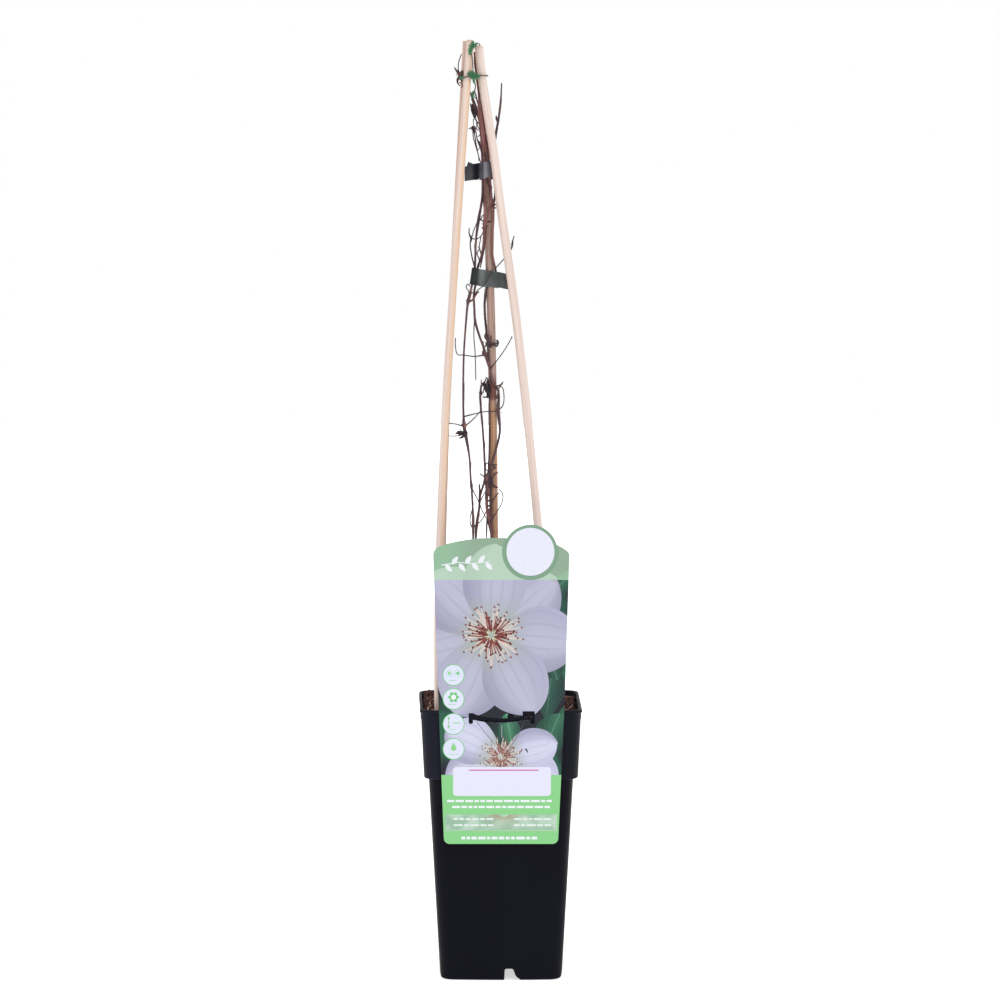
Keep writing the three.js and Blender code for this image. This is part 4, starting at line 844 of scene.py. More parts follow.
def make_crumbs(look):
    shape = Shape()
    for _ in range(CRUMBS):
        x, y = soil_place()
        size = 0.45 + 1.5 * draw.random() ** 3
        centre = Vector((x, y, crust_height(x, y) + size * draw.uniform(-0.2, 0.55)))
        tone = draw.random() ** 3
        lump(shape, centre, size, tone, squash=(1, draw.uniform(0.5, 1), draw.uniform(0.4, 0.9)))
    for x, z, size in STRAY_CRUMBS:
        lump(shape, Vector((x, -POT.band_half - 0.9, z)), size * 0.65, squash=(1.3, 0.6, 0.9))
    shape.build("soil_crumbs", look)


def root_surface(angle, gone, z):
    return 1 + 0.25 * noise.noise(Vector((angle, gone, 3)))


def make_fibres(look):
    shape = Shape()
    inside = POT.collar_top_half - POT.wall - 2.5
    for _ in range(FIBRES):
        x, y = soil_place()
        start = Vector((x, y, crust_height(x, y) + draw.uniform(-0.4, 0.5)))
        turn = draw.uniform(0, math.tau)
        away = Vector((math.cos(turn), math.sin(turn), draw.uniform(-0.1, 0.2))).normalized()
        length = draw.uniform(2, 6)
        if max(abs(c) for c in (start + away * length).xy) < inside:
            radius = draw.uniform(0.09, 0.2)
            hair(shape, start, away, length, radius, droop=length * 0.25, tone=draw.random() ** 2.5)
    for route in ROOTS:
        tube(shape, route, sides=6, step=1.2, surface=root_surface, tone=0.9)
    shape.build("soil_fibres", look)


# ---------------------------------------------------------------- canes

DOWELS = ("front_left", "back_left", "right")
DOWEL_SIDES, BAMBOO_SIDES = 28, 24
CHAMFER = 0.45
SHEATH = Sizes(foot=454.3, full=457.3, thins=467, top=480)  # round the bamboo's upper joint


def cane_route(name):
    return [[*place, CANE_RADIUS[name]] for place in CANE_ROUTES[name]]


def cane_at(name, z):
    """Middle of a cane at a height."""
    route = CANE_ROUTES[name]
    upper = next(k for k, place in enumerate(route) if place[2] > z)
    below, above = route[upper - 1], route[upper]
    share = (z - below[2]) / (above[2] - below[2])
    return lerp(below[0], above[0], share), lerp(below[1], above[1], share)


def dowel_surface(seed):
    """Planed dowel: a little out of round and slightly uneven along its length."""

    def surface(angle, gone, z):
        return 1 + 0.014 * rod_noise(angle, gone * 0.03 + seed) - 0.006 * abs(math.sin(angle * 4 + seed))

    return surface


def cut_top(shape, name, seed):
    """Makes a sawn head slightly skewed and rough, and stains its end grain."""
    x, _, z = CANE_ROUTES[name][-1]
    for k, (px, py, pz) in enumerate(shape.points):
        if pz > z - 1.2:
            rough = noise.noise(Vector((px * 0.9, py * 0.9, seed)))
            shape.points[k] = (px, py, pz - 0.35 - 0.3 * rough - 0.12 * (px - x))
            shape.tone[k] = 0.5


def side_shade_and_warmth(name, facing):
    """How much painted shade (above 0) or warmer colour (below 0) a cane gets on the side that faces along
    X; the back cane is painted in shade all round.
    """
    turned = max(0, -facing) ** 2
    warm = 0.8 * smoothstep(facing, -0.4, 0.5)
    return {"front_left": 0.35 * turned - warm, "back_left": 0.65, "right": 0.2 * turned}[name]


def make_dowels(look):
    for seed, name in enumerate(DOWELS):
        shape = Shape()
        route = cane_route(name)
        x, y, z, radius = route[-1]
        chamfer = [[x, y, z - 0.5, radius], [x, y, z - 0.1, radius - CHAMFER]]
        tube(shape, route[:-1] + chamfer, DOWEL_SIDES, step=7, surface=dowel_surface(seed * 7))
        # Painted shade round each ring, set by the side that each point faces.
        for k in range(0, len(shape.points), DOWEL_SIDES):
            ring = shape.points[k : k + DOWEL_SIDES]
            middle = sum(x for x, _, _ in ring) / DOWEL_SIDES
            shape.tone[k : k + DOWEL_SIDES] = [side_shade_and_warmth(name, (x - middle) / radius) for x, _, _ in ring]
        cut_top(shape, name, seed * 5)
        shape.build(f"cane_{name}_wood", look, [f"cane_{name}"], sharp=50)


def bell(distance, width):
    """1 at a place, falling to nothing over about twice the width on each side."""
    return math.exp(-((distance / width) ** 2))


def bamboo_surface(angle, gone, z):
    """Slightly oval stick with a ridge at each joint and a groove under it."""
    swell = 1 + 0.01 * math.sin(angle * 2 + z * 0.01)
    for joint in BAMBOO_JOINTS:
        swell += 0.035 * bell(z - joint, 1) - 0.02 * bell(z - joint + 2.4, 0.8)
    return swell


def bamboo_stain(z):
    """Dark rings at the joints, and the red brown sheath left round the upper one."""
    rings = max(bell(z - joint + 1.6, 1.3) for joint in BAMBOO_JOINTS)
    sheath = smoothstep(z, SHEATH.foot, SHEATH.full) * (1 - smoothstep(z, SHEATH.thins, SHEATH.top))
    return max(0.25 * rings, 0.85 * sheath)


def make_bamboo(look):
    shape = Shape()
    tube(shape, cane_route("centre"), BAMBOO_SIDES, step=0.9, surface=bamboo_surface)
    shape.tone = [bamboo_stain(z) for _, _, z in shape.points]
    shape.build("cane_centre_bamboo", look, ["cane_centre"], sharp=60)


# ---------------------------------------------------------------- vine

NODE_RADIUS = 1.15  # a route's point at least this thick is a node with buds
THINNEST = 0.38
STEM_SIDES, TWIG_SIDES, TENDRIL_SIDES = 12, 8, 6
NODE_HAIRS, SWELLING_HAIRS, LEAF_STRIPS, BARK_STRIPS, BUNDLE_STRANDS = 9, 10, 5, 26, 34
HAIR_RADIUS = 0.24
PEELED = ("stem_main", "stem_back")  # without outer bark above the lower tape
PEEL_STARTS = (552, 568)  # heights between which the bark gives way


def bark_surface(seed, depth=0.13):
    """Twisted ribs of a depth, on an uneven stem."""

    def surface(angle, gone, z):
        twist = gone * 0.045 + seed
        ribs = math.sin(angle * 3 + twist) * 0.6 + math.sin(angle * 5 - twist * 1.7) * 0.4
        return 1 + depth * ribs + 0.12 * rod_noise(angle, gone * 0.35 + seed)

    return surface


def bud(shape, base, away, size):
    """Pointed bud with two loose scales at its foot."""
    tip = base + away * size * 2.9
    belly = base + away * size * 1.1
    places = [base, belly, lerp(belly, tip, 0.6), tip]
    pointed = thicken(places, [size * share for share in (0.5, 0.8, 0.45, 0.08)])
    tube(shape, pointed, sides=8, step=0.4, tone=0.3)
    for turn in (-1, 1):
        lean = Quaternion(UP, turn * 0.9) @ away
        out = base + lean * size * 1.4 + UP * size * 0.5
        scale = thicken([base, out, out + UP * size], [size * share for share in (0.5, 0.35, 0.05)])
        tube(shape, scale, sides=6, step=0.5, tone=0.6, flat=0.16)


def crumple(shape, leaf):
    """Shrivelled black leaf: curled strips along its blade."""
    for _ in range(LEAF_STRIPS):
        strip = []
        for x, y, z, half in leaf:
            aside, ahead, rise = (draw.uniform(-0.7, 0.7) for _ in range(3))
            radius = max(half * draw.uniform(0.3, 0.55), 0.3)
            strip.append([x + aside * half, y + ahead * half, z + rise, radius])
        curled = bark_surface(len(shape.points), 0.2)
        tube(shape, strip, sides=8, step=0.5, surface=curled, tone=draw.uniform(-1, -0.6), flat=0.22)


def grow_buds(shape, node, radius):
    """A pair of buds and short hairs at a node."""
    facing = draw.uniform(0, math.tau)
    for turn in (0, math.pi):
        away = Vector((math.cos(facing + turn), 0.5 * math.sin(facing + turn), 0.9)).normalized()
        bud(shape, node + away * radius * 0.5, away, draw.uniform(0.55, 0.8))
    for _ in range(NODE_HAIRS):
        away = random_way(y=(-0.6, 0.6), z=(-0.8, 0.9)).normalized()
        start = node + away * radius * 0.6
        length = draw.uniform(0.8, 2)
        hair(shape, start, away, length, HAIR_RADIUS, droop=1, tone=draw.uniform(0, 0.5))


def peel_strip(shape, stations):
    """Strip of bark that has come away somewhere along the stem, above the soil."""
    centre, along, radius, _ = stations[draw.randrange(len(stations) - 4)]
    if centre.z < SOIL.level + 1.5:
        return
    out = along.cross(Vector((draw.uniform(-1, 1), draw.uniform(-1, 0.2), 0))).normalized()
    length = draw.uniform(4, 13)
    lift = draw.uniform(0.1, 0.7)
    places = [
        centre + out * radius * 0.85,
        centre + out * (radius + 0.1) + along * length * 0.4,
        centre + out * (radius + lift) + along * length,
    ]
    tube(shape, thicken(places, (0.3, 0.28, 0.1)), sides=5, step=1, tone=0.8, flat=0.12)


def make_stem(name, route, twigs, leaves, look):
    shape = Shape()
    seed = len(name) * 3.1
    tube(shape, route, STEM_SIDES, step=1.3, surface=bark_surface(seed))
    if name in PEELED:
        shape.tone = [0.65 * smoothstep(z, *PEEL_STARTS) for _, _, z in shape.points]
    for k, twig in enumerate(twigs):
        sides = TWIG_SIDES if max(radius for _, _, _, radius in twig) > 0.7 else TENDRIL_SIDES
        twig = [[x, y, z, max(radius, THINNEST)] for x, y, z, radius in twig]
        ribbed = bark_surface(seed + k, depth=0.1)
        tube(shape, twig, sides, step=0.7, surface=ribbed, tone=draw.uniform(-0.6, -0.1))
    for leaf in leaves:
        crumple(shape, leaf)
    for x, y, z, radius in route:
        if radius >= NODE_RADIUS and z >= SOIL.level + 4.5:
            grow_buds(shape, Vector((x, y, z)), radius)
    stations = follow(route, 3)
    for _ in range(BARK_STRIPS):
        peel_strip(shape, stations)
    shape.build(f"{name}_bark", look, [name])


# Middle of the bundle of stems by the upper tape.
BUNDLE = [
    [-9.6, 2.2, 606.3], [-11.6, 1.6, 628], [-12.6, 1.6, 643.7], [-13.8, 1.4, 657.5], [-16, 1.2, 677.1],
    [-17.4, 2, 692.8],
]
BUNDLE_SPAN = (606, 693)  # heights of its foot and its top

# The upper tape's turn as seen from above, its front first: [x, y].
UPPER_LOOP = [
    [-16.6, 3.4], [-15.2, 0.8], [-12.6, -0.2], [-9.6, 1.4], [-5.6, 4.2], [-3.4, 6.4], [-4.2, 9.4],
    [-7.6, 12.2], [-11.6, 13], [-15.4, 11.4], [-17.2, 7.6],
]
FRONT_KNOTS = 6


def make_bundle(look):
    """Loose bark strands along the bundle. Below the tape they part and the stick shows between them."""
    shape = Shape()
    foot, top = BUNDLE_SPAN
    tape_front = list(zip(*UPPER_LOOP[:FRONT_KNOTS]))
    for k in range(BUNDLE_STRANDS):
        side, reach = draw.choice((-1, 1)), draw.uniform(0.4, 3.4)
        first = draw.randrange(3)
        last = min(len(BUNDLE), first + draw.choice((3, 4)))
        route = []
        for x, y, z in BUNDLE[first:last]:
            share = min(max((z - foot) / (top - foot), 0), 1)
            across = side * lerp(2.6 + reach * 0.4, reach, smoothstep(z, 622, 646)) * (1 - 0.7 * share)
            place = x + across + draw.uniform(-0.3, 0.3)
            depth = y + 2.4 * (1 - share) - reach * 0.5
            if 620 < z < 660:  # behind the tape
                depth = max(depth, float(np.interp(place, *tape_front)) + 1.1)
            route.append([place, depth, z + draw.uniform(-4, 4), draw.uniform(0.3, 0.5)])
        tone, flat = draw.uniform(0.4, 1), draw.uniform(0.16, 0.34)
        tube(shape, route, sides=6, step=1.5, surface=bark_surface(k, 0.2), tone=tone, flat=flat)
    shape.build("bark_strands", look)


# Where the photo, 1000 pixels wide, was seen from: millimetres, degrees, and pixels for the focal length.
VIEW_X, VIEW_BACK, VIEW_HEIGHT, VIEW_TILT = -0.8, 2200, 505, 3.347
FOCAL_PIXELS, PHOTO_MIDDLE = 2763.5, 500


def from_photo(across, down, y):
    """Place (x, z) at depth y that the photo shows at this pixel, to a tenth of a millimetre."""
    tilt = math.radians(VIEW_TILT)
    drop = (VIEW_BACK + y) * math.tan(tilt + math.atan((down - PHOTO_MIDDLE) / FOCAL_PIXELS))
    ahead = (VIEW_BACK + y) * math.cos(tilt) + drop * math.sin(tilt)
    x = VIEW_X + (across - PHOTO_MIDDLE) * ahead / FOCAL_PIXELS
    return round(x, 1), round(VIEW_HEIGHT - drop, 1)


def ring_places(across, down, radius):
    """Pixels of a closed ring in eight steps."""
    turns = [k * math.pi / 4 for k in range(9)]
    return [(across + radius * math.cos(turn), down + radius * math.sin(turn)) for turn in turns]


# Dry tendrils, leaves and peeled strands: tone, y, radius, and the pixels of the photo that they pass,
# read on enlarged crops.
WISPS = [
    # Curls of dry tendrils by the seed head, above the upper tape.
    (-0.5, 2, 0.45, *ring_places(473.5, 128.3, 2.1)),
    (-0.2, 3, 0.42, (472.6, 129.5), (473, 133.5), (473.3, 137), (474.6, 142), (476, 147), (477.3, 151),
     (478.4, 155), (478.9, 161.5)),
    (0, 3, 0.4, (475.2, 130), (476.4, 133), (476.7, 137), (477.8, 140.5), (479.5, 143.5), (481, 148.5),
     (481.8, 153)),
    (-0.3, 2, 0.4, (480.6, 132.3), (479.9, 134.6), (478.6, 136.2), (477, 136.8)),
    (0, 2, 0.4, (477, 139.5), (479, 141.4), (481.2, 143.6)),
    (0, 3, 0.36, (473.6, 126.5), (473.5, 122), (473.3, 119.8), (474.6, 118.8), (476.4, 119.8),
     (476.8, 122), (477.6, 126), (479.2, 129), (480.6, 131.4)),
    (0, 2, 0.36, (475.8, 127.9), (477.4, 129.4), (479.4, 131.4)),
    (-0.2, 2.4, 0.36, (476.2, 121.6), (476.6, 126), (476.6, 130.5)),
    (0, 2, 0.34, (480.2, 147.4), (478.4, 149.3), (477.3, 151)),
    # Strands from the low knot into the bundle.
    (0.3, 4.4, 0.85, (471.6, 98.5), (473.4, 103), (475.4, 108), (477, 113), (478.4, 118), (480, 123),
     (481.5, 128)),
    (-0.1, 3, 0.55, (474.8, 91.3), (475.8, 95), (476.8, 99.5), (477.9, 103.5), (479.2, 108.5),
     (480.6, 113.6), (481.6, 118)),
    (0, 2, 0.35, (472.6, 95.8), (474.4, 97), (477, 99.7)),
    # Crumpled leaf under the low knot.
    (-0.6, 4, 0.75, (470.5, 103.4), (471.3, 106), (472, 109), (473.4, 112), (475.3, 114)),
    (-0.4, 3.4, 0.65, (471.2, 108), (472.8, 107), (474.4, 108.6), (474.8, 111.5), (474.2, 113.5)),
    (-0.7, 3, 0.55, (471.5, 110.5), (472.3, 112.8), (474, 114.5), (475.5, 116.2), (475.8, 118)),
    (-0.3, 3.6, 0.65, (473.2, 107.8), (474.8, 109.4), (475.8, 112.5), (476.2, 116)),
    # Dry scales at the head, left of the canes.
    (0.6, -1, 0.5, (458.7, 82.3), (460.5, 83), (461.9, 83.9), (462.3, 86.8), (461.4, 88)),
    (0.1, -1, 0.8, (459.6, 72.4), (460.8, 75.4), (461.2, 79), (461.5, 82.4)),
    # Peeled strand on the bundle below the upper tape.
    (0.6, -0.6, 0.6, (486.5, 222.5), (488.5, 215), (489.8, 205), (491, 195), (491.8, 186)),
    (0.4, -0.6, 0.6, (491.4, 209.6), (493.6, 208.4), (496.3, 207.8)),
    # Matted strands along the left edge of the stick, above the label.
    (0.5, 3.2, 0.8, (489.9, 464), (489.2, 470), (488.2, 476), (487.8, 484), (487.6, 492), (487.2, 500),
     (487.4, 508), (488.4, 516), (489.9, 524), (491.2, 532)),
    (0.3, 3.4, 0.8, (491.4, 466), (490.4, 472), (489.6, 480), (489.8, 488), (490, 497), (490.2, 506),
     (490.6, 514), (491.2, 522), (491.8, 532)),
    (-0.3, 2.6, 0.9, (490.9, 468), (489.8, 475), (488.8, 482), (489, 488)),
    (0.1, 3, 0.8, (489.3, 468), (487.8, 473), (486.2, 477), (485.9, 482), (486.4, 488), (487, 495)),
    (0.6, 2.8, 0.8, (486.5, 500), (486.2, 506), (487, 512), (488.5, 518), (489.8, 522)),
    (-0.4, 3, 0.6, (491.3, 500), (490.9, 508), (490.6, 516), (491.6, 524)),
    (-0.2, 2.6, 0.8, (487.2, 495.8), (488.8, 495.2), (490.3, 494.2)),
    (-0.2, 2.6, 0.8, (487.2, 500.9), (488.8, 500.7), (490.3, 500.1)),
    (-0.2, 2.6, 0.8, (487.2, 506.2), (488.8, 505.9), (490.5, 505.3)),
    (0, 2.2, 0.45, (489.5, 470), (492, 467), (495, 464.8), (497.5, 464.5)),
    (0, 2.2, 0.45, (487.8, 470.2), (490, 468.5), (493, 468.6), (496.4, 466.8)),
    (0.1, 2.8, 0.72, (498.3, 472.4), (495.6, 473.6), (493.6, 476), (492.6, 480), (493.2, 484),
     (495.2, 486.6), (498.3, 487.5)),
    (0.2, 1.6, 0.45, (480.5, 474.5), (483, 476), (485.5, 478)),
    (-0.5, 0, 0.62, (479.4, 485.2), (479.6, 491), (479.2, 497), (479, 502)),
    (0.5, 2.9, 1, (488.3, 487), (488.7, 490.5), (488.9, 494.8)),
    (0.5, 2.9, 1, (488.7, 508.6), (489.2, 513), (490, 519)),
    (-0.3, 2.4, 0.66, (486.9, 518), (486.7, 525), (486.6, 531), (486.7, 538)),
    (0.3, 2.8, 1, (489.9, 521), (490.6, 529), (491.4, 538)),
    # Dark streaks and twigs on the bundle, above and below the upper tape.
    (-0.5, -1, 0.7, (484.7, 151), (486.2, 155.5), (487.6, 161)),
    (-0.5, 0, 0.5, (481.8, 153), (482.2, 158), (482.5, 162.5)),
    (-0.5, 0.6, 0.8, (485.7, 178), (487.2, 182), (489.2, 186.5)),
    (-0.4, 1, 0.6, (483.2, 180), (483.5, 193), (483.9, 207)),
    (-0.4, 1, 0.55, (479.4, 218.5), (481.5, 220), (484.2, 222.6)),
    (-0.4, 1, 0.42, (481.4, 219.6), (482, 216.8), (483.8, 214.2)),
    (-0.3, 1.6, 0.6, (476.6, 138), (478.6, 143.5), (480.8, 149.5), (482, 155), (482.3, 160.5)),
    (-0.2, 3.4, 1.2, (492, 204.6), (493.6, 207.8), (493.2, 211.6)),
    # Peeled bark on the stick below the tapes.
    (0.6, 4.6, 1.1, (491.2, 522), (491.7, 530), (492.2, 538)),
    (-0.2, 2.6, 0.9, (490.6, 466.6), (493.2, 467.5), (496.2, 468.4)),
    (0.2, 2.4, 1, (490.8, 467.4), (493.2, 465.6), (495.8, 465.2)),
    # Strands by the lower tape.
    (-0.3, 0.4, 0.45, (478.2, 246.5), (479.6, 249), (478, 251.2), (477.2, 254), (478.8, 258),
     (479.4, 262), (479.2, 267)),
    (0, 3, 0.6, (480.4, 268), (481.5, 262), (483, 255), (484.3, 248), (484.9, 240)),
    (-0.2, 6, 0.9, (486.4, 285), (486.1, 290), (485.6, 296), (485.2, 302)),
    # Dark strand along the left edge of the stick.
    (0.1, 5.6, 0.75, (489.3, 398), (489.3, 410), (489.5, 425), (489.5, 440), (489.2, 455), (488.6, 466),
     (488.2, 472)),
    (-0.2, 5, 0.6, (487, 330), (487.8, 352), (488.6, 362), (489.6, 371), (490.4, 382)),
    # Tuft of dry strands on the stick.
    (-0.3, 3, 0.7, (487.5, 341), (490, 343.5), (493, 343.2), (496, 343.8), (497.5, 342)),
    (-0.3, 2.6, 0.5, (484.8, 342.3), (487, 344), (489.2, 346.8), (491.8, 347.8)),
    (-0.2, 2.6, 0.9, (484.9, 335.5), (486.5, 337.5), (488.3, 341), (489.5, 345)),
    (0, 2.6, 0.5, (488.3, 334), (488.6, 338), (488.8, 343)),
    (-0.3, 3, 0.5, (491, 335.2), (490.9, 339), (490.6, 342)),
    (-0.3, 3.4, 0.45, (497.7, 341.5), (498, 343.5), (496.8, 345.3), (495.6, 347)),
    (-0.3, 3.4, 0.45, (496.8, 340), (498, 340.6), (498.1, 342.4)),
    (-0.4, 2, 0.45, (482, 351), (483.4, 353), (484.5, 354)),
    # Peeled strand below the lower tape.
    (0.5, 1, 0.8, (467.4, 303.8), (469.9, 301.5), (472.4, 300), (476.5, 293.8), (479, 291.4)),
    (0.3, 1, 0.6, (470.7, 292.2), (475.7, 293.8)),
    # Black curled leaf by the sheath of the stick.
    (-1, 0.6, 1, (489.5, 384.5), (488.5, 388), (487.8, 392), (488, 396), (487, 398)),
    (-0.9, 0.2, 0.9, (486, 384.8), (487.5, 387), (488.9, 390.5), (489.3, 394), (488.9, 397)),
    (-1, 0, 0.8, (484.5, 386), (486.5, 385.5), (488.6, 386.8), (490, 389), (490, 392.5)),
    (-0.7, -0.4, 0.5, (481.7, 386.3), (483.5, 384.5), (486, 384), (488, 385.5)),
    (-0.8, -0.4, 0.55, (482.4, 396.5), (484.5, 397.3), (486.7, 396.5), (487.7, 394.5)),
    (-0.4, 2.6, 0.6, (498, 391), (497.6, 395), (496.8, 399)),
    # Dry bud and hooks at the outer stem.
    (-0.6, -1.6, 0.95, (456.6, 432.6), (459, 431.8), (462, 432.8), (465, 433.2), (467.4, 432.6)),
    (-0.7, -1.2, 0.6, (457.4, 433.8), (460, 434.2), (463, 433.6)),
    (0, -1.2, 0.3, (459.6, 428.5), (460.6, 430.2), (461.4, 431.8)),
    (0.3, -1, 0.5, (461.2, 424.2), (464, 425.4), (468.2, 424)),
]
# Swollen nodes and dry buds: tone, y, radius, length and the pixel of the middle, read in the same way.
SWELLINGS = [
    (0, -1, 1.6, 5, (461.5, 73.5)), (0.5, -0.4, 1.8, 4, (491.8, 209.5)),
    (0.7, -0.4, 1.9, 4.6, (464.3, 425)), (-0.4, 1, 1.2, 5, (480.5, 393.2)),
    (0.3, 2.2, 1.9, 5.4, (486.6, 478)), (0.6, 3, 1.7, 4.4, (484.6, 353)),
    (0.2, 2.6, 1.9, 4.2, (491.6, 467)),
]

# A swelling's outline: share of its length from its middle, and share of its radius.
BELLY = [(-0.5, 0.4), (-0.25, 0.9), (0.05, 1), (0.3, 0.7), (0.5, 0.3)]


def make_wisps(look):
    shape = Shape()
    for k, (tone, y, radius, *pixels) in enumerate(WISPS):
        places = [from_photo(*pixel, y) for pixel in pixels]
        route = [[x, y, z, radius] for x, z in places]
        route[-1][3] = route[0][3] = radius * 0.7
        tube(shape, route, TENDRIL_SIDES, step=0.7, surface=bark_surface(k * 1.7, 0.16), tone=tone)
    for k, (tone, y, radius, length, pixel) in enumerate(SWELLINGS):
        x, z = from_photo(*pixel, y)
        knotty = bark_surface(k * 2.3, depth=0.25)
        route = []
        for rise, share in BELLY:
            route.append([x + draw.uniform(-0.3, 0.3), y, z + rise * length, radius * share])
        tube(shape, route, sides=10, step=0.5, surface=knotty, tone=tone, flat=radius * 0.6)
        for _ in range(SWELLING_HAIRS):
            away = random_way(y=(-0.7, 0.1)).normalized()
            start = Vector((x, y, z)) + away * radius * 0.7
            hair(shape, start, away, draw.uniform(0.8, 2), HAIR_RADIUS, droop=1, tone=tone)
    shape.build("dry_tendrils", look)


# ---------------------------------------------------------------- ties

RISE_STEPS, TAPE_STEP = 8, 0.6
UPPER_TAIL = [[-15, 0.8], [-17.6, 0], [-21.4, 0.6], [-25.4, -0.4], [-28.8, 0.2]]
LOWER_LOOP = [
    [-24.6, 1], [-23.6, -1.3], [-20.4, -1.4], [-15.4, 1.2], [-9, 4.3], [-4.8, 5.2], [-2.2, 8.2],
    [-2.6, 12], [-5.6, 15.2], [-10.8, 15.9], [-18, 12.4], [-23, 6.4],
]
LOWER_TAIL = [[-9.6, 4.1], [-5, 4.6], [0, 4.6], [4.4, 5], [8, 5.2]]

LOOSE_HAIRS = 0.3  # share of the twine's stations with a loose hair
KNOT_WRAPS = 3
FUZZ_HAIRS = 130  # on a knot, for each millimetre of its radius

# Where the twine's turn round the heads starts and ends, in front of the canes.
TWINE_FRONT = [-21.4, -9.6, TWINE.turn_z]

# The twine's riser, its arc over the heads, and its loose end.
TWINE_ENDS = [
    [[-21.8, -9.8, 712], [-22.2, -9.8, 718.4], [-22.6, -9.8, 724.5], [-23.6, -10, 730]],
    [[-20.4, -9.8, 735.6], [-18.8, -6, 737], [-18, -3, 737.1], [-17.2, 2.4, 737.3], [-16.7, 5, 736.2],
     [-16.4, 5.6, 730.2]],
    [[-21.4, -9.8, 709.9], [-20.2, -7, 703.3], [-21, -3.6, 699.5], [-22.4, -2.6, 697.2]],
]

# Knots and tufts of fuzz on the twine: [x, y, z, radius].
KNOTS = [
    [[-25.4, -9.8, 713, 1], [-23.6, -9.8, 712, 2.1], [-21.2, -9.8, 710.8, 2.6], [-19, -9.6, 711, 2.2],
     [-17.8, -9.4, 711.4, 1]],
    [[-22.8, -9.8, 714.8, 0.8], [-22.3, -9.8, 712.4, 1.6], [-21.8, -9.8, 709, 1.2],
     [-20.9, -9.8, 705.4, 0.6]],
    [[-31.8, -5.4, 709.8, 0.6], [-31, -6.6, 710, 1.1], [-29.8, -7.8, 710.2, 0.6]],
    [[-24.4, -10, 728.2, 0.8], [-24, -10.2, 731, 1.9], [-23, -10.2, 734, 1.7], [-22, -10, 737.4, 0.9]],
    [[-23, -10, 732.8, 0.8], [-21, -10, 734.6, 1.3], [-19.6, -9.4, 736.2, 0.9]],
    [[-21.6, -3, 699.1, 0.7], [-22.4, -2.4, 697.2, 1.5], [-23, -2.4, 695.2, 0.7]],
]


def one_lap(stations, place):
    """The part of an overlapping loop between two passes of a place."""
    far = [(centre - place).length for centre, _, _, _ in stations]
    start = min(range(len(far)), key=lambda k: far[k])
    end = min(range(len(far)), key=lambda k: far[k] + 9 * (k < len(far) / 2))
    return stations[start:end]


def ribbon(shape, route, z, edges, tone, slope=0.0, looped=False, lean=None):
    """
    Flat tape on edge along a plan route, dropped towards +X. At a share of its length `edges` moves its
    rims, `tone` darkens it and `lean` moves its upper rim sideways.
    """
    knots = [[x, y, z - slope * (x - route[0][0]), 1] for x, y in route]
    if looped:
        stations = one_lap(follow(knots[-2:] + knots + knots[:2], TAPE_STEP), Vector(knots[0][:3]))
    else:
        stations = follow(knots, TAPE_STEP)
    shares = [k / RISE_STEPS for k in range(RISE_STEPS + 1)]
    round_trip = [(1, 1 - rise) for rise in shares] + [(-1, rise) for rise in shares]
    points, grain, tones = [], [], []
    for k, (centre, along, _, gone) in enumerate(stations):
        share = k / (len(stations) - 1)
        top, bottom = edges(share)
        out = UP.cross(Vector((along.x, along.y, 0))).normalized()
        for side, rise in round_trip:
            height = lerp(-TAPE.height / 2 + bottom, TAPE.height / 2 + top, rise)
            crease = 0.16 * noise.noise(Vector((gone * 0.35, height * 0.3, z)))
            aside = lean(share) * (height / TAPE.height + 0.4) if lean else 0
            off = out * (side * TAPE.thickness * 0.36 + crease)
            points.append(centre + off + UP * height + Vector((aside, 0, 0)))
            grain.append((gone, height, side))
            tones.append(tone(share))
    start = len(shape.points)
    shape.add(points, ring_faces(len(round_trip), len(stations), looped), grain)
    shape.tone[start:] = tones


def along_tape(*steps):
    """Value by share of a tape's length, straight between (share, value) steps."""
    shares, values = zip(*steps)
    return lambda share: float(np.interp(share, shares, values))


def make_upper_tape(look):
    """One turn, and a tail: its upper rim dips and ends in a point, its lower rim has a small nick."""
    shape = Shape()
    top = along_tape((0, 0), (0.075, 0.2), (0.25, 1.3), (0.4, 0.6), (0.7, 0), (1, 0))
    bottom = along_tape((0, -0.5), (0.065, -0.5), (0.22, 1.4), (0.4, 0.8), (0.7, 0), (1, -0.5))
    # Painted shade on the turn, with a painted highlight band where the tone drops to 0.
    tone = along_tape((0, 0.6), (0.1, 0.6), (0.13, 0), (0.18, 0), (0.215, 0.28), (0.3, 0.25), (0.45, 0.6))
    ribbon(shape, UPPER_LOOP, TAPE.upper, lambda s: (top(s), bottom(s)), tone, looped=True)
    torn = along_tape((0, 0), (0.17, -0.2), (0.49, -1.1), (0.79, 0.6), (0.82, 0.2), (0.86, -3), (1, -3))
    nick = along_tape(
        (0, -0.5), (0.1, -0.5), (0.17, 0.9), (0.24, -0.6), (0.49, -0.7), (0.79, -1.3), (1, -1.7),
    )
    shade = along_tape(
        (0, 0.6), (0.12, 0.7), (0.25, 0.97), (0.42, 0.95), (0.6, 0.75), (0.8, 0.6), (1, 0.62),
    )
    ribbon(shape, UPPER_TAIL, TAPE.upper, lambda s: (torn(s), nick(s)), shade)
    shape.build("tape_upper_band", look, ["tape_upper"], sharp=50)


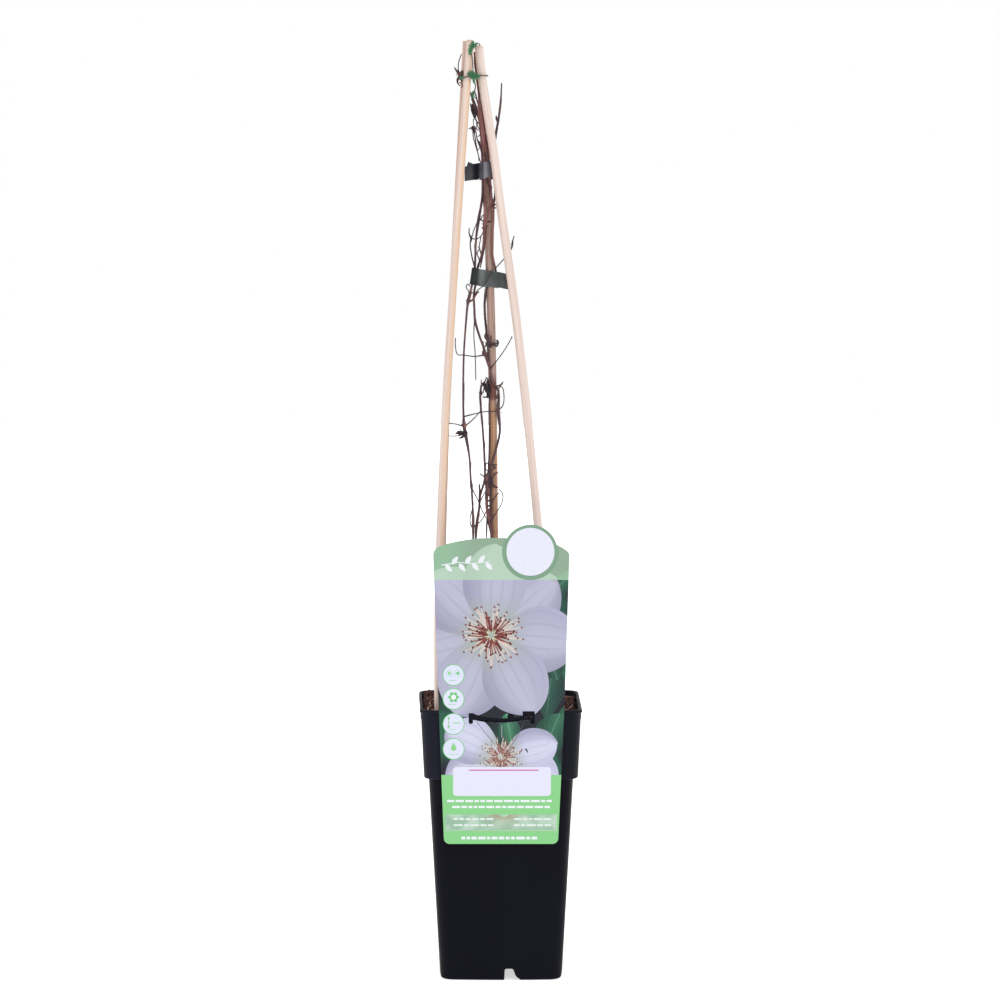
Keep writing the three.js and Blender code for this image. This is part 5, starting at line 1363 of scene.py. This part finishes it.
def make_lower_tape(look):
    """One turn that slopes down to the right, its left end leaning in at the top, and a tail."""
    shape = Shape()
    slope, left = TAPE.slope, TAPE.lower
    sag = along_tape((0, -0.2), (0.1, -0.2), (0.23, -0.6), (0.34, 0.8), (0.45, 0.5), (1, 0))
    # Painted shade in the fold at the left end of the turn, and a painted highlight just after it.
    fold_shade_and_highlight = along_tape((0, 0.8), (0.03, 0.85), (0.11, 0.8), (0.14, 0.4), (0.165, 0), (0.2, 0), (0.25, 0.5))

    def lean(share):
        return 1.9 * (1 - smoothstep(min(share, 1 - share), 0.05, 0.17))

    ribbon(shape, LOWER_LOOP, left, lambda s: (0.2, sag(s)), fold_shade_and_highlight, slope, looped=True, lean=lean)
    start = left - slope * (LOWER_TAIL[0][0] - LOWER_LOOP[0][0])
    top = along_tape((0, 0), (0.4, 0.3), (1, -0.3))
    hem = along_tape((0, 0.2), (0.2, 0.8), (0.5, 0.9), (0.8, 0.5), (1, 0.5))
    shade = along_tape((0, 0.5), (0.3, 0.5), (0.45, 0.6), (0.6, 0.52), (1, 0.5))
    ribbon(shape, LOWER_TAIL, start, lambda s: (top(s), hem(s)), shade, slope)
    shape.build("tape_lower_band", look, ["tape_lower"], sharp=50)


def round_cane(name, start, end):
    """Places of the twine round the outside of a cane's head, between two angles."""
    x, y = cane_at(name, TWINE.turn_z)
    reach = CANE_RADIUS[name] + TWINE.radius + 2 * GAP
    places = []
    for share in (0, 0.33, 0.67, 1):
        angle = math.radians(lerp(start, end, share))
        across = x + reach * math.cos(angle)
        height = TWINE.turn_z + TWINE.climb * (across - TWINE.climb_from)
        places.append([across, y + reach * math.sin(angle), height])
    return places


def twisted(angle, gone, z):
    return 1 + 0.16 * math.sin(angle * 2 + gone * 2.4)


def lay_twine(shape, places):
    """A strand of twine with loose hairs."""
    route = [[*place, TWINE.radius] for place in places]
    tube(shape, route, sides=8, step=0.6, surface=twisted)
    for centre, along, _, _ in follow(route, 0.8):
        if draw.random() < LOOSE_HAIRS:
            away = along.cross(random_way()).normalized()
            length = draw.uniform(0.6, 1.4)
            hair(shape, centre, (away + along).normalized(), length, radius=0.1, droop=0.3, tone=1)


def tie_knot(shape, route):
    """Knot of three coils under green fuzz."""
    stations = follow(route, 0.5)
    for wrap in range(KNOT_WRAPS):
        coil = []
        for centre, along, reach, gone in stations:
            angle = gone * 1.5 + wrap * 2.1
            side = along.cross(UP).normalized()
            out = side * math.cos(angle) + along.cross(side) * math.sin(angle)
            coil.append([*(centre + out * reach * 0.56), 0.36])
        tube(shape, coil, sides=6, step=0.6, tone=0.85)
    for _ in range(int(FUZZ_HAIRS * max(radius for _, _, _, radius in route))):
        centre, _, reach, _ = stations[draw.randrange(len(stations))]
        away = Vector((draw.gauss(0, 1), draw.gauss(0, 0.6), draw.gauss(0, 0.9))).normalized()
        length = draw.uniform(0.3, 1) * reach + 0.3
        start = centre + away * reach * 0.4
        hair(shape, start, away, length, radius=0.16, droop=0.7, tone=draw.uniform(0.7, 1))


def make_twine(look):
    shape = Shape()
    round_heads = [("right", -60, 70), ("back_left", 95, 205), ("front_left", 190, 265)]
    turn = [place for stretch in round_heads for place in round_cane(*stretch)]
    for places in [[TWINE_FRONT, *turn, TWINE_FRONT], *TWINE_ENDS]:
        lay_twine(shape, places)
    for route in KNOTS:
        tie_knot(shape, route)
    shape.build("twine_tie_fuzz", look, ["twine_tie"])


# ---------------------------------------------------------------- label

# Screen colours of the inks.
WHITE, LEAF, DEEP, RING = (250, 250, 253), (44, 100, 75), (30, 32, 42), (134, 168, 138)
GREEN, PALE_GREEN, VEIL, MAGENTA = (146, 218, 141), (118, 205, 118), (189, 223, 184), (214, 92, 160)
PANEL, BADGE, SIGN, FINE_PRINT = (240, 238, 252), (240, 240, 250), (234, 236, 252), (238, 247, 238)
FINE_LEAF, CARD_BACK, SPECK = (240, 248, 241), (232, 232, 238), (60, 52, 62)
PETAL_EDGE, PETAL_MIDDLE, PETAL_SHADE = (205, 202, 228), (226, 226, 244), (158, 156, 180)
PETAL_FOOT, DUSK, CREAM, ANTHER = (176, 184, 176), (154, 149, 168), (214, 206, 190), (98, 44, 42)
NO_VEIN = (0, 0, 0)
PRINT_STEP = 2.3

# Left, right, foot and head of inks that run off the card.
LEFT, RIGHT, FOOT, HEAD = -60, 60, 100, 366

# Middles of the discs with growing signs.
SIGN_X, SIGN_HEIGHTS = -36.9, (243.9, 225.2, 205.6, 186.1)

# Leaves behind the flowers: x, z, angle, length and width; and their dark and light inks in turn.
SPRAYS = [
    (26, 297, 0.72, 46, 18), (44, 199.4, 0.9, 36, 18), (40, 252, 4.6, 44, 24), (46, 214, 4.3, 44, 26),
    (4, 214, 4.9, 34, 17), (44, 239.7, 1.9, 34, 17), (-30, 214, 3.9, 20, 9),
]
SPRAY_INKS = [((24, 62, 48), (52, 116, 84)), ((30, 78, 58), (74, 140, 100)), ((20, 48, 42), (40, 92, 70))]
RAY_INKS = [(186, 148, 128), (172, 178, 146)]  # of the stamens in the picture strip

# Scored lines of the card's hanging flap, from the slot down, in pale and dark inks that paint the
# highlight and shade along the cuts: [x, z] along them, width and ink.
SCORES = [
    ([(-20.8, 207.7), (-12.4, 197.4), (-5.6, 188.7), (0.8, 178.6)], 0.55, (226, 222, 236)),
    ([(-19.2, 207.5), (-11.2, 197), (-4.6, 188.3)], 0.35, (70, 72, 84)),
    ([(17.9, 206.9), (13.6, 197.4), (1.6, 178.6)], 0.4, (84, 84, 98)),
    ([(0.6, 204.7), (0.6, 195)], 0.45, (188, 186, 202)),
]

# Rings of stamens from the outside in: how many, their share of the petals' length, and their ink.
STAMENS = [
    (46, 0.32, (224, 208, 196)), (34, 0.23, (148, 72, 60)), (24, 0.15, (112, 42, 40)),
    (12, 0.08, (206, 204, 172)),
]


def arc(x, z, radius, start, end, steps=24):
    turns = np.linspace(start, end, steps + 1)
    return [(x + radius * math.cos(turn), z + radius * math.sin(turn)) for turn in turns]


def disc(x, z, radius, steps=40):
    return arc(x, z, radius, 0, math.tau, steps)[:-1]


def bend(a, control, b, steps=8):
    """Points after `a` on a quadratic curve to `b`."""
    shares = [k / steps for k in range(1, steps + 1)]
    return [tuple(lerp(lerp(p, q, t), lerp(q, r, t), t) for p, q, r in zip(a, control, b)) for t in shares]


def box(left, right, low, high, corner=0.0):
    if not corner:
        return [(left, low), (right, low), (right, high), (left, high)]
    places = []
    turns = [(right, low, -1, 1), (right, high, -1, -1), (left, high, 1, -1), (left, low, 1, 1)]
    for k, (x, z, dx, dz) in enumerate(turns):
        start, end = (k - 1) * QUARTER, k * QUARTER
        places += arc(x + dx * corner, z + dz * corner, corner, start, end, 5)
    return places


def card_outline():
    """The card's edge from its foot round: a tapered sheet with a badge at the top right."""
    c = LABEL
    half, corner, low, top = c.foot_half, c.foot_corner, c.bottom, c.shoulder
    shoulder, waist = c.shoulder_half, c.waist_half
    badge = arc(c.badge_x, c.badge_z, c.badge_radius, 0.26, math.pi - 0.53, 30)
    points = arc(half - corner, low + corner, corner, -QUARTER, 0, 6)
    points += [(waist + 0.2, c.waist), (shoulder, top - 1)]
    points += bend(points[-1], (shoulder + 0.4, top + 2.4), (50, top + 4.4))
    points += bend(points[-1], (46.4, 344), badge[0])[:-1] + badge
    points += bend(points[-1], (-2, c.crown + 0.4), (-16.3, c.crown))
    points += bend(points[-1], (-36, 348.4), (-47.4, 344.4))
    points += bend(points[-1], (-52.6, 342), (-shoulder + 0.4, top))
    points += [(-waist + 0.6, c.waist)]
    return points + arc(-half + corner, low + corner, corner, math.pi, 1.5 * math.pi, 6)


def slot_outline():
    """Slot that the pot's rim shows through: a sagging bar with a leg at each end and a round notch."""
    points = [(-25.2, 214.1), *arc(-23.5, 207.3, 1.7, math.pi, math.tau, 8), (-21.8, 208.8)]
    points += bend(points[-1], (-2, 204.2), (17.7, 208.5))
    points += [(22.8, 208.8), *arc(24.5, 207.1, 1.7, math.pi, math.tau, 8)]
    points += [(26.2, 215.6), (16.8, 215.6), (16.8, 211.7), (9.9, 210.4)]
    points += arc(7.4, 211.1, 2.6, -0.25, math.pi + 0.35, 12)
    points += bend(points[-1], (-8, 209.5), (-19.4, 212.9))
    return points + [(-21.8, 214.1)]


def blend_ink(a, b, share):
    return tuple(lerp(p, q, share) for p, q in zip(a, b))


class Print:
    """Layers of ink on the card: each has an outline and a rule for its colour and vein at a place."""

    def __init__(self):
        self.layers = []

    def ink(self, outline, paint):
        area = sum(a[0] * b[1] - b[0] * a[1] for a, b in zip(outline, outline[1:] + outline[:1]))
        rule = paint if callable(paint) else lambda x, z, below: (paint, NO_VEIN)
        self.layers.append((outline if area > 0 else outline[::-1], rule))

    def line(self, places, width, colour, tip=1.0):
        """Stroke through places that narrows to `tip` of its width."""
        left, right = [], []
        for k, place in enumerate(places):
            before, after = places[max(k - 1, 0)], places[min(k + 1, len(places) - 1)]
            run = Vector((after[0] - before[0], after[1] - before[1])).normalized()
            half = width / 2 * lerp(1, tip, k / (len(places) - 1))
            left.append((place[0] - run.y * half, place[1] + run.x * half))
            right.append((place[0] + run.y * half, place[1] - run.x * half))
        self.ink(left + right[::-1], colour)

    def bars(self, left, right, z, height, colour):
        """Plain bars of uneven length, where a printed label has its lines of small print."""
        x = left
        while x < right - 2:
            end = min(x + draw.uniform(2.2, 7.5), right)
            self.ink(box(x, end, z, z + height), colour)
            x = end + 1.1


def axes(angle):
    """Directions along and across something that points at an angle."""
    return Vector((math.cos(angle), math.sin(angle))), Vector((-math.sin(angle), math.cos(angle)))


def leaf(page, x, z, angle, length, width, dark, light):
    """Pointed oval leaf with a paler midrib."""
    run, side = axes(angle)
    foot = Vector((x, z))
    half = [width * math.sin(math.pi * t**0.8) ** 0.9 / 2 for t in np.linspace(0, 1, 22)]
    left = [foot + run * length * k / 21 + side * h for k, h in enumerate(half)]
    right = [foot + run * length * k / 21 - side * h for k, h in enumerate(half[1:-1], 1)]

    def paint(px, pz, below):
        place = Vector((px - x, pz - z))
        across, along = place.dot(side) / width * 2, place.dot(run) / length
        share = smoothstep(abs(across), 0, 0.9) * 0.7 + 0.3 * along
        return blend_ink(light, dark, min(share, 1)), (abs(across) * 2.2 + along * 3.5, along, 0.16)

    page.ink([tuple(p) for p in left + right[::-1]], paint)
    spine = [tuple(foot + run * length * t) for t in (0.02, 0.5, 0.93)]
    page.line(spine, 0.7, blend_ink(light, WHITE, 0.25), tip=0.3)


def petal(page, x, z, angle, length, width, shade, dusk):
    """Broad rounded petal: lilac white, greener at its foot, in shade along one side, with fine grooves."""
    run, side = axes(angle)
    foot = Vector((x, z))

    def half(t):
        return width / 2 * (math.sin(math.pi * min(t, 1) ** 1.25) ** 0.62 if 0 < t < 1 else 0)

    shares = [0.5 - 0.5 * math.cos(math.pi * k / 30) for k in range(31)]
    left = []
    for t in shares:
        wavy = 1 + 0.03 * math.sin(t * 9)
        left.append(foot + run * (length * t * wavy) + side * half(t))
    right = [foot + run * length * t - side * half(t) for t in shares[1:-1]]

    def paint(px, pz, below):
        place = Vector((px - x, pz - z))
        along = min(max(place.dot(run) / length, 0.001), 0.999)
        across = place.dot(side) / max(half(along), 0.5)
        middle = smoothstep(abs(across + 0.1), 0.9, 0.1) * 0.8 + 0.2 * along
        light = blend_ink(PETAL_EDGE, PETAL_MIDDLE, middle)
        light = blend_ink(light, PETAL_SHADE, smoothstep(across * shade, 0.2, 1.1) * 0.7)
        light = blend_ink(light, DUSK, dusk)
        light = blend_ink(PETAL_FOOT, light, smoothstep(along, 0.1, 0.5))
        return light, (across, along, 0.2 * math.sin(math.pi * along))

    page.ink([tuple(p) for p in left + right[::-1]], paint)


def blossom(page, x, z, size, angles, dusk):
    """Open flower of overlapping petals at given angles, with a brush of cream and russet stamens."""
    for k, angle in enumerate(angles):
        length, width = size * draw.uniform(0.94, 1.04), size * draw.uniform(0.7, 0.8)
        petal(page, x, z, math.radians(angle), length, width, 1 if k % 2 else -1, dusk)
    for ring, (count, reach, tint) in enumerate(STAMENS):
        tint = blend_ink(tint, CREAM, max(0.45 - dusk, 0))
        for k in range(count):
            angle = math.tau * (k + 0.5 * ring + draw.uniform(-0.3, 0.3)) / count
            end = size * reach * draw.uniform(0.8, 1.15)
            curl = draw.uniform(-0.3, 0.3)
            places = []
            for r in (size * 0.03, end * 0.6, end):
                turn = angle + curl * r / end
                places.append((x + r * math.cos(turn), z + r * math.sin(turn)))
            page.line(places, size * 0.018, tint, tip=0.6)
            page.ink(disc(*places[-1], size * 0.013, 7), blend_ink(tint, ANTHER, 0.7))


def sun_signs(page, x, z):
    """Two small suns side by side."""
    for sun_x, ink in ((x - 3.3, GREEN), (x + 3.3, PALE_GREEN)):
        page.ink(disc(sun_x, z, 1.2, 14), ink)
        for k in range(8):
            turn = k * math.pi / 4
            ray = [(sun_x + r * math.cos(turn), z + r * math.sin(turn)) for r in (1.7, 2.8)]
            page.line(ray, 0.45, GREEN)


def blossom_sign(page, x, z):
    wavy = []
    for turn in np.linspace(0, math.tau, 48, endpoint=False):
        reach = 3.7 + 0.7 * math.cos(6 * turn)
        wavy.append((x + reach * math.cos(turn), z + reach * math.sin(turn)))
    page.ink(wavy, PALE_GREEN)
    page.ink(disc(x, z, 2), WHITE)


def height_sign(page, x, z):
    """Upright arrow with a head at both ends, and a bar beside it."""
    shaft, low, high = x - 3.8, z - 3.2, z + 4.7
    page.line([(shaft, low + 0.2), (shaft, high - 0.2)], 0.5, PALE_GREEN)
    for tip, rise in ((high, 1), (low, -1)):
        foot = tip - rise * 1.3
        page.ink([(x - 5, foot), (x - 2.6, foot), (shaft, tip + rise * 0.7)], PALE_GREEN)
    page.bars(x - 0.6, x + 5.2, z, 0.9, blend_ink(GREEN, WHITE, 0.2))


def water_sign(page, x, z):
    """Drop with a round foot."""
    drop = arc(x, z, 2.2, math.pi, math.tau, 12)
    page.ink(drop + [(x + 1.2, z + 2.2), (x, z + 4.6), (x - 1.2, z + 2.2)], GREEN)


def growing_signs(page):
    """Plain signs for light, flowers, height and water, each in a white disc."""
    x = SIGN_X
    for z in SIGN_HEIGHTS:
        page.ink(disc(x, z, 8.5), PALE_GREEN)
        page.ink(disc(x, z, 7.9), SIGN)
        page.bars(x - 3.6, x + 3.8, z - 4.6, 0.7, blend_ink(GREEN, WHITE, 0.35))
    sun_signs(page, x, 245.3)
    blossom_sign(page, x, 226.6)
    height_sign(page, x, 206)
    water_sign(page, x, 186.7)


def backdrop(x, z, below):
    """Out-of-focus leaves behind the flowers, lit from the left at the head of the card."""
    cloud = 0.5 + noise.noise(Vector((x * 0.035, z * 0.035, 4)))
    cloud += 0.4 * noise.noise(Vector((x * 0.09, z * 0.09, 1)))
    head = smoothstep(z, 312, 320)
    lit = lerp(smoothstep(cloud, 0.2, 0.9), 1 - smoothstep(x, -46, -18), head)
    return blend_ink(DEEP, LEAF, lit), NO_VEIN


def veil(x, z, below):
    return blend_ink(below, VEIL, 0.76), NO_VEIN


def faded_strip(x, z, below):
    cloud = smoothstep(noise.noise(Vector((x * 0.1, z * 0.12, 7))), -0.3, 0.3)
    return blend_ink(blend_ink(LEAF, WHITE, 0.3 + 0.5 * cloud), VEIL, 0.66), NO_VEIN


def paint_foot(page):
    """Green foot with bars for its print, a faded picture strip, and a white panel with a magenta line."""
    page.ink(box(LEFT, RIGHT, FOOT, 165.7), GREEN)
    page.ink(box(-43.5, 43.5, 121.7, 135), faded_strip)
    for k in range(22):
        angle = math.pi * (1.02 + 0.96 * k / 21)
        reaches = (3, 7, 10 + 2 * draw.random())
        ray = [(2 + r * math.cos(angle) * 1.5, 135.7 + r * math.sin(angle)) for r in reaches]
        page.line(ray, 0.6, RAY_INKS[k % 2], tip=0.4)
    page.ink(box(LEFT, RIGHT, 134.6, 136.4), GREEN)
    for z in (130.3, 125.5):
        page.bars(-37, -6, z, 1.5, FINE_PRINT)
        page.bars(10, 40, z, 1.5, FINE_PRINT)
    for left, right, z, height in ((-42, 41, 144.4, 1.7), (-38, 38, 139.7, 1.7), (-31, 31, 115.1, 2.1)):
        page.bars(left, right, z, height, WHITE)
    page.ink(box(-37.3, 38.8, 149.2, 171.9, 2.4), PANEL)
    page.ink(box(-25, 29, 169, 169.9), MAGENTA)


def paint_head(page):
    """A sprig on the header, and the bare badge."""
    page.line([(-46, 329.5), (-34, 331.6), (-22, 330.8), (-9, 332.4)], 0.8, WHITE, tip=0.5)
    for k in range(7):
        angle = 0.95 if k % 2 else -0.85
        leaf(page, -43 + 5.2 * k, 330 + 0.25 * k, angle, 7.6, 3.7, dark=FINE_LEAF, light=WHITE)
    page.ink(disc(LABEL.badge_x, LABEL.badge_z, LABEL.badge_radius + 1, 60), RING)
    page.ink(disc(LABEL.badge_x, LABEL.badge_z, 18.6, 60), BADGE)


def paint_page():
    page = Print()
    page.ink(box(LEFT, RIGHT, FOOT, HEAD), backdrop)
    for k, spray in enumerate(SPRAYS):
        leaf(page, *spray, *SPRAY_INKS[k % 3])
    blossom(page, 0, 179.7, size=47, angles=[208, 152, -25, 14], dusk=0.05)
    blossom(page, -7.4, 275, size=69, angles=[-165, 135, 41, 87, -5, -114, -62], dusk=0.42)
    page.ink(box(LEFT, RIGHT, 318, HEAD), veil)
    paint_foot(page)
    paint_head(page)
    growing_signs(page)
    # Speck of soil on the card.
    page.line([(19, 186.3), (20.2, 184.6), (20.6, 183.2)], 1.3, SPECK, tip=0.6)
    for places, width, ink in SCORES:
        page.line(places, width, ink)
    return page


def overlay(loops):
    """Triangles of the page and the loops that hold each one, on a grid fine enough for soft shading."""
    step = PRINT_STEP
    points, faces = [], []
    for loop in loops:
        faces.append(list(range(len(points), len(points) + len(loop))))
        points += loop
    for row, z in enumerate(np.arange(LABEL.bottom, LABEL.badge_z + LABEL.badge_radius, step)):
        columns = np.arange(-LABEL.shoulder_half, LABEL.shoulder_half, step)
        points += [(x + step / 2 * (row % 2), z) for x in columns]
    places = [Vector(point) for point in points]
    corners, _, triangles, _, _, owners = geometry.delaunay_2d_cdt(places, [], faces, 0, 1e-4)
    return corners, [(face, sorted(own)) for face, own in zip(triangles, owners)]


def open_edges(faces):
    """Edges that only one face has, in that face's direction."""
    edges = {}
    for face in faces:
        for edge in zip(face, face[1:] + face[:1]):
            edges[edge] = True
            if edge[::-1] in edges:
                del edges[edge], edges[edge[::-1]]
    return list(edges)


def make_label(look):
    """The card: its triangles carry the inks of the layers that hold them, and its back is bare."""
    page = paint_page()
    corners, triangles = overlay([card_outline(), slot_outline()] + [places for places, _ in page.layers])
    shown = [(face, own) for face, own in triangles if 0 in own and 1 not in own]

    used = {corner: k for k, corner in enumerate(sorted({c for face, _ in shown for c in face}))}
    front = [(corners[c].x, LABEL.front, corners[c].y) for c in used]
    back = [(x, y + LABEL.thickness, z) for x, y, z in front]
    count = len(front)
    fronts = [[used[c] for c in face] for face, _ in shown]
    backs = [[c + count for c in face[::-1]] for face in fronts]
    sides = [[b, a, a + count, b + count] for a, b in open_edges(fronts)]
    shape = Shape()
    shape.add(front + back, fronts + backs + sides)
    mesh = shape.mesh("label_card")

    inks, veins = [], []
    for face, own in shown:
        for c in face:
            colour, vein = WHITE, NO_VEIN
            for layer in own[1:]:
                colour, vein = page.layers[layer - 2][1](corners[c].x, corners[c].y, colour)
            inks += [*srgb(*colour), 1]
            veins += vein
    blank = len(mesh.loops) - len(inks) // 4
    inks += [*srgb(*CARD_BACK), 1] * blank
    veins += NO_VEIN * blank
    mesh.attributes.new("ink", "FLOAT_COLOR", "CORNER").data.foreach_set("color", inks)
    mesh.attributes.new("vein", "FLOAT_VECTOR", "CORNER").data.foreach_set("vector", veins)
    dress(new_object("label_card", mesh), look, ["label"], sharp=30)

# ---------------------------------------------------------------- studio

FLOOR_REACH = 14000


def area_light(name, place, aim, size, power):
    light = bpy.data.lights.new(name, "AREA")
    light.shape, light.size, light.energy = "DISK", size, power
    lamp = new_object(name, light)
    lamp.location = place
    lamp.rotation_euler = (Vector(aim) - Vector(place)).to_track_quat("-Z", "Y").to_euler()


def make_world(scene):
    """Even white light from all round."""
    world = bpy.data.worlds.new("studio")
    world.use_nodes = True
    background = world.node_tree.nodes["Background"]
    background.inputs["Color"].default_value = (1, 1, 1, 1)
    background.inputs["Strength"].default_value = 1.0
    scene.world = world


def make_floor():
    """Sheet of pale paper under the pot."""
    reach = FLOOR_REACH
    corners = [(-reach, -reach, 0), (reach, -reach, 0), (reach, reach, 0), (-reach, reach, 0)]
    floor = Shape()
    floor.add(corners, [[0, 1, 2, 3]])
    sheet = new_object("floor", floor.mesh("floor"))
    glow = dict(Emission_Color=(1, 1, 1), Emission_Strength=0.6)
    paper = Look("pale_paper", Roughness=0.9, Specular_IOR_Level=0.1, **glow)
    tooth = paper.noise(40, 40, 40, detail=2)
    base = paper.mix(tooth, (0.86, 0.86, 0.86), (0.9, 0.9, 0.9))
    sheet.data.materials.append(paper.finish(Base_Color=base))


def make_camera(scene):
    """Long lens in front of the plant, tipped a little down."""
    view = bpy.data.cameras.new("camera")
    view.lens, view.sensor_width = 99.49, 36  # the lens of FOCAL_PIXELS on this sensor
    view.clip_start, view.clip_end = 0.05, 60
    camera = new_object("camera", view)
    camera.location = (VIEW_X / 1000, -VIEW_BACK / 1000, VIEW_HEIGHT / 1000)
    camera.rotation_euler = (math.radians(90 - VIEW_TILT), 0, 0)
    scene.camera = camera


def make_studio():
    scene = bpy.context.scene
    scene.view_settings.view_transform = "Standard"
    make_world(scene)
    area_light("key_light", (1.4, -2.4, 1.3), aim=(0, 0, 0.35), size=1.3, power=12)
    area_light("fill_light", (-1.9, -2.0, 1.1), aim=(0, 0, 0.35), size=1.8, power=4)
    make_floor()
    make_camera(scene)


# ---------------------------------------------------------------- assembly

make_studio()
make_pot(pot_look())
soil = soil_look()
make_crust(soil)
make_crumbs(soil)
make_fibres(fibre_look())
make_dowels(cane_look())
make_bamboo(bamboo_look())
bark = bark_look()
for stem_name, stem_parts in STEMS.items():
    make_stem(stem_name, *stem_parts, bark)
make_bundle(bark)
make_wisps(bark)
make_upper_tape(tape_look("tie_tape_upper", srgb(78, 78, 85), srgb(106, 104, 113)))
make_lower_tape(tape_look("tie_tape_lower", srgb(78, 86, 84), srgb(102, 109, 108)))
make_twine(twine_look())
make_label(card_look())
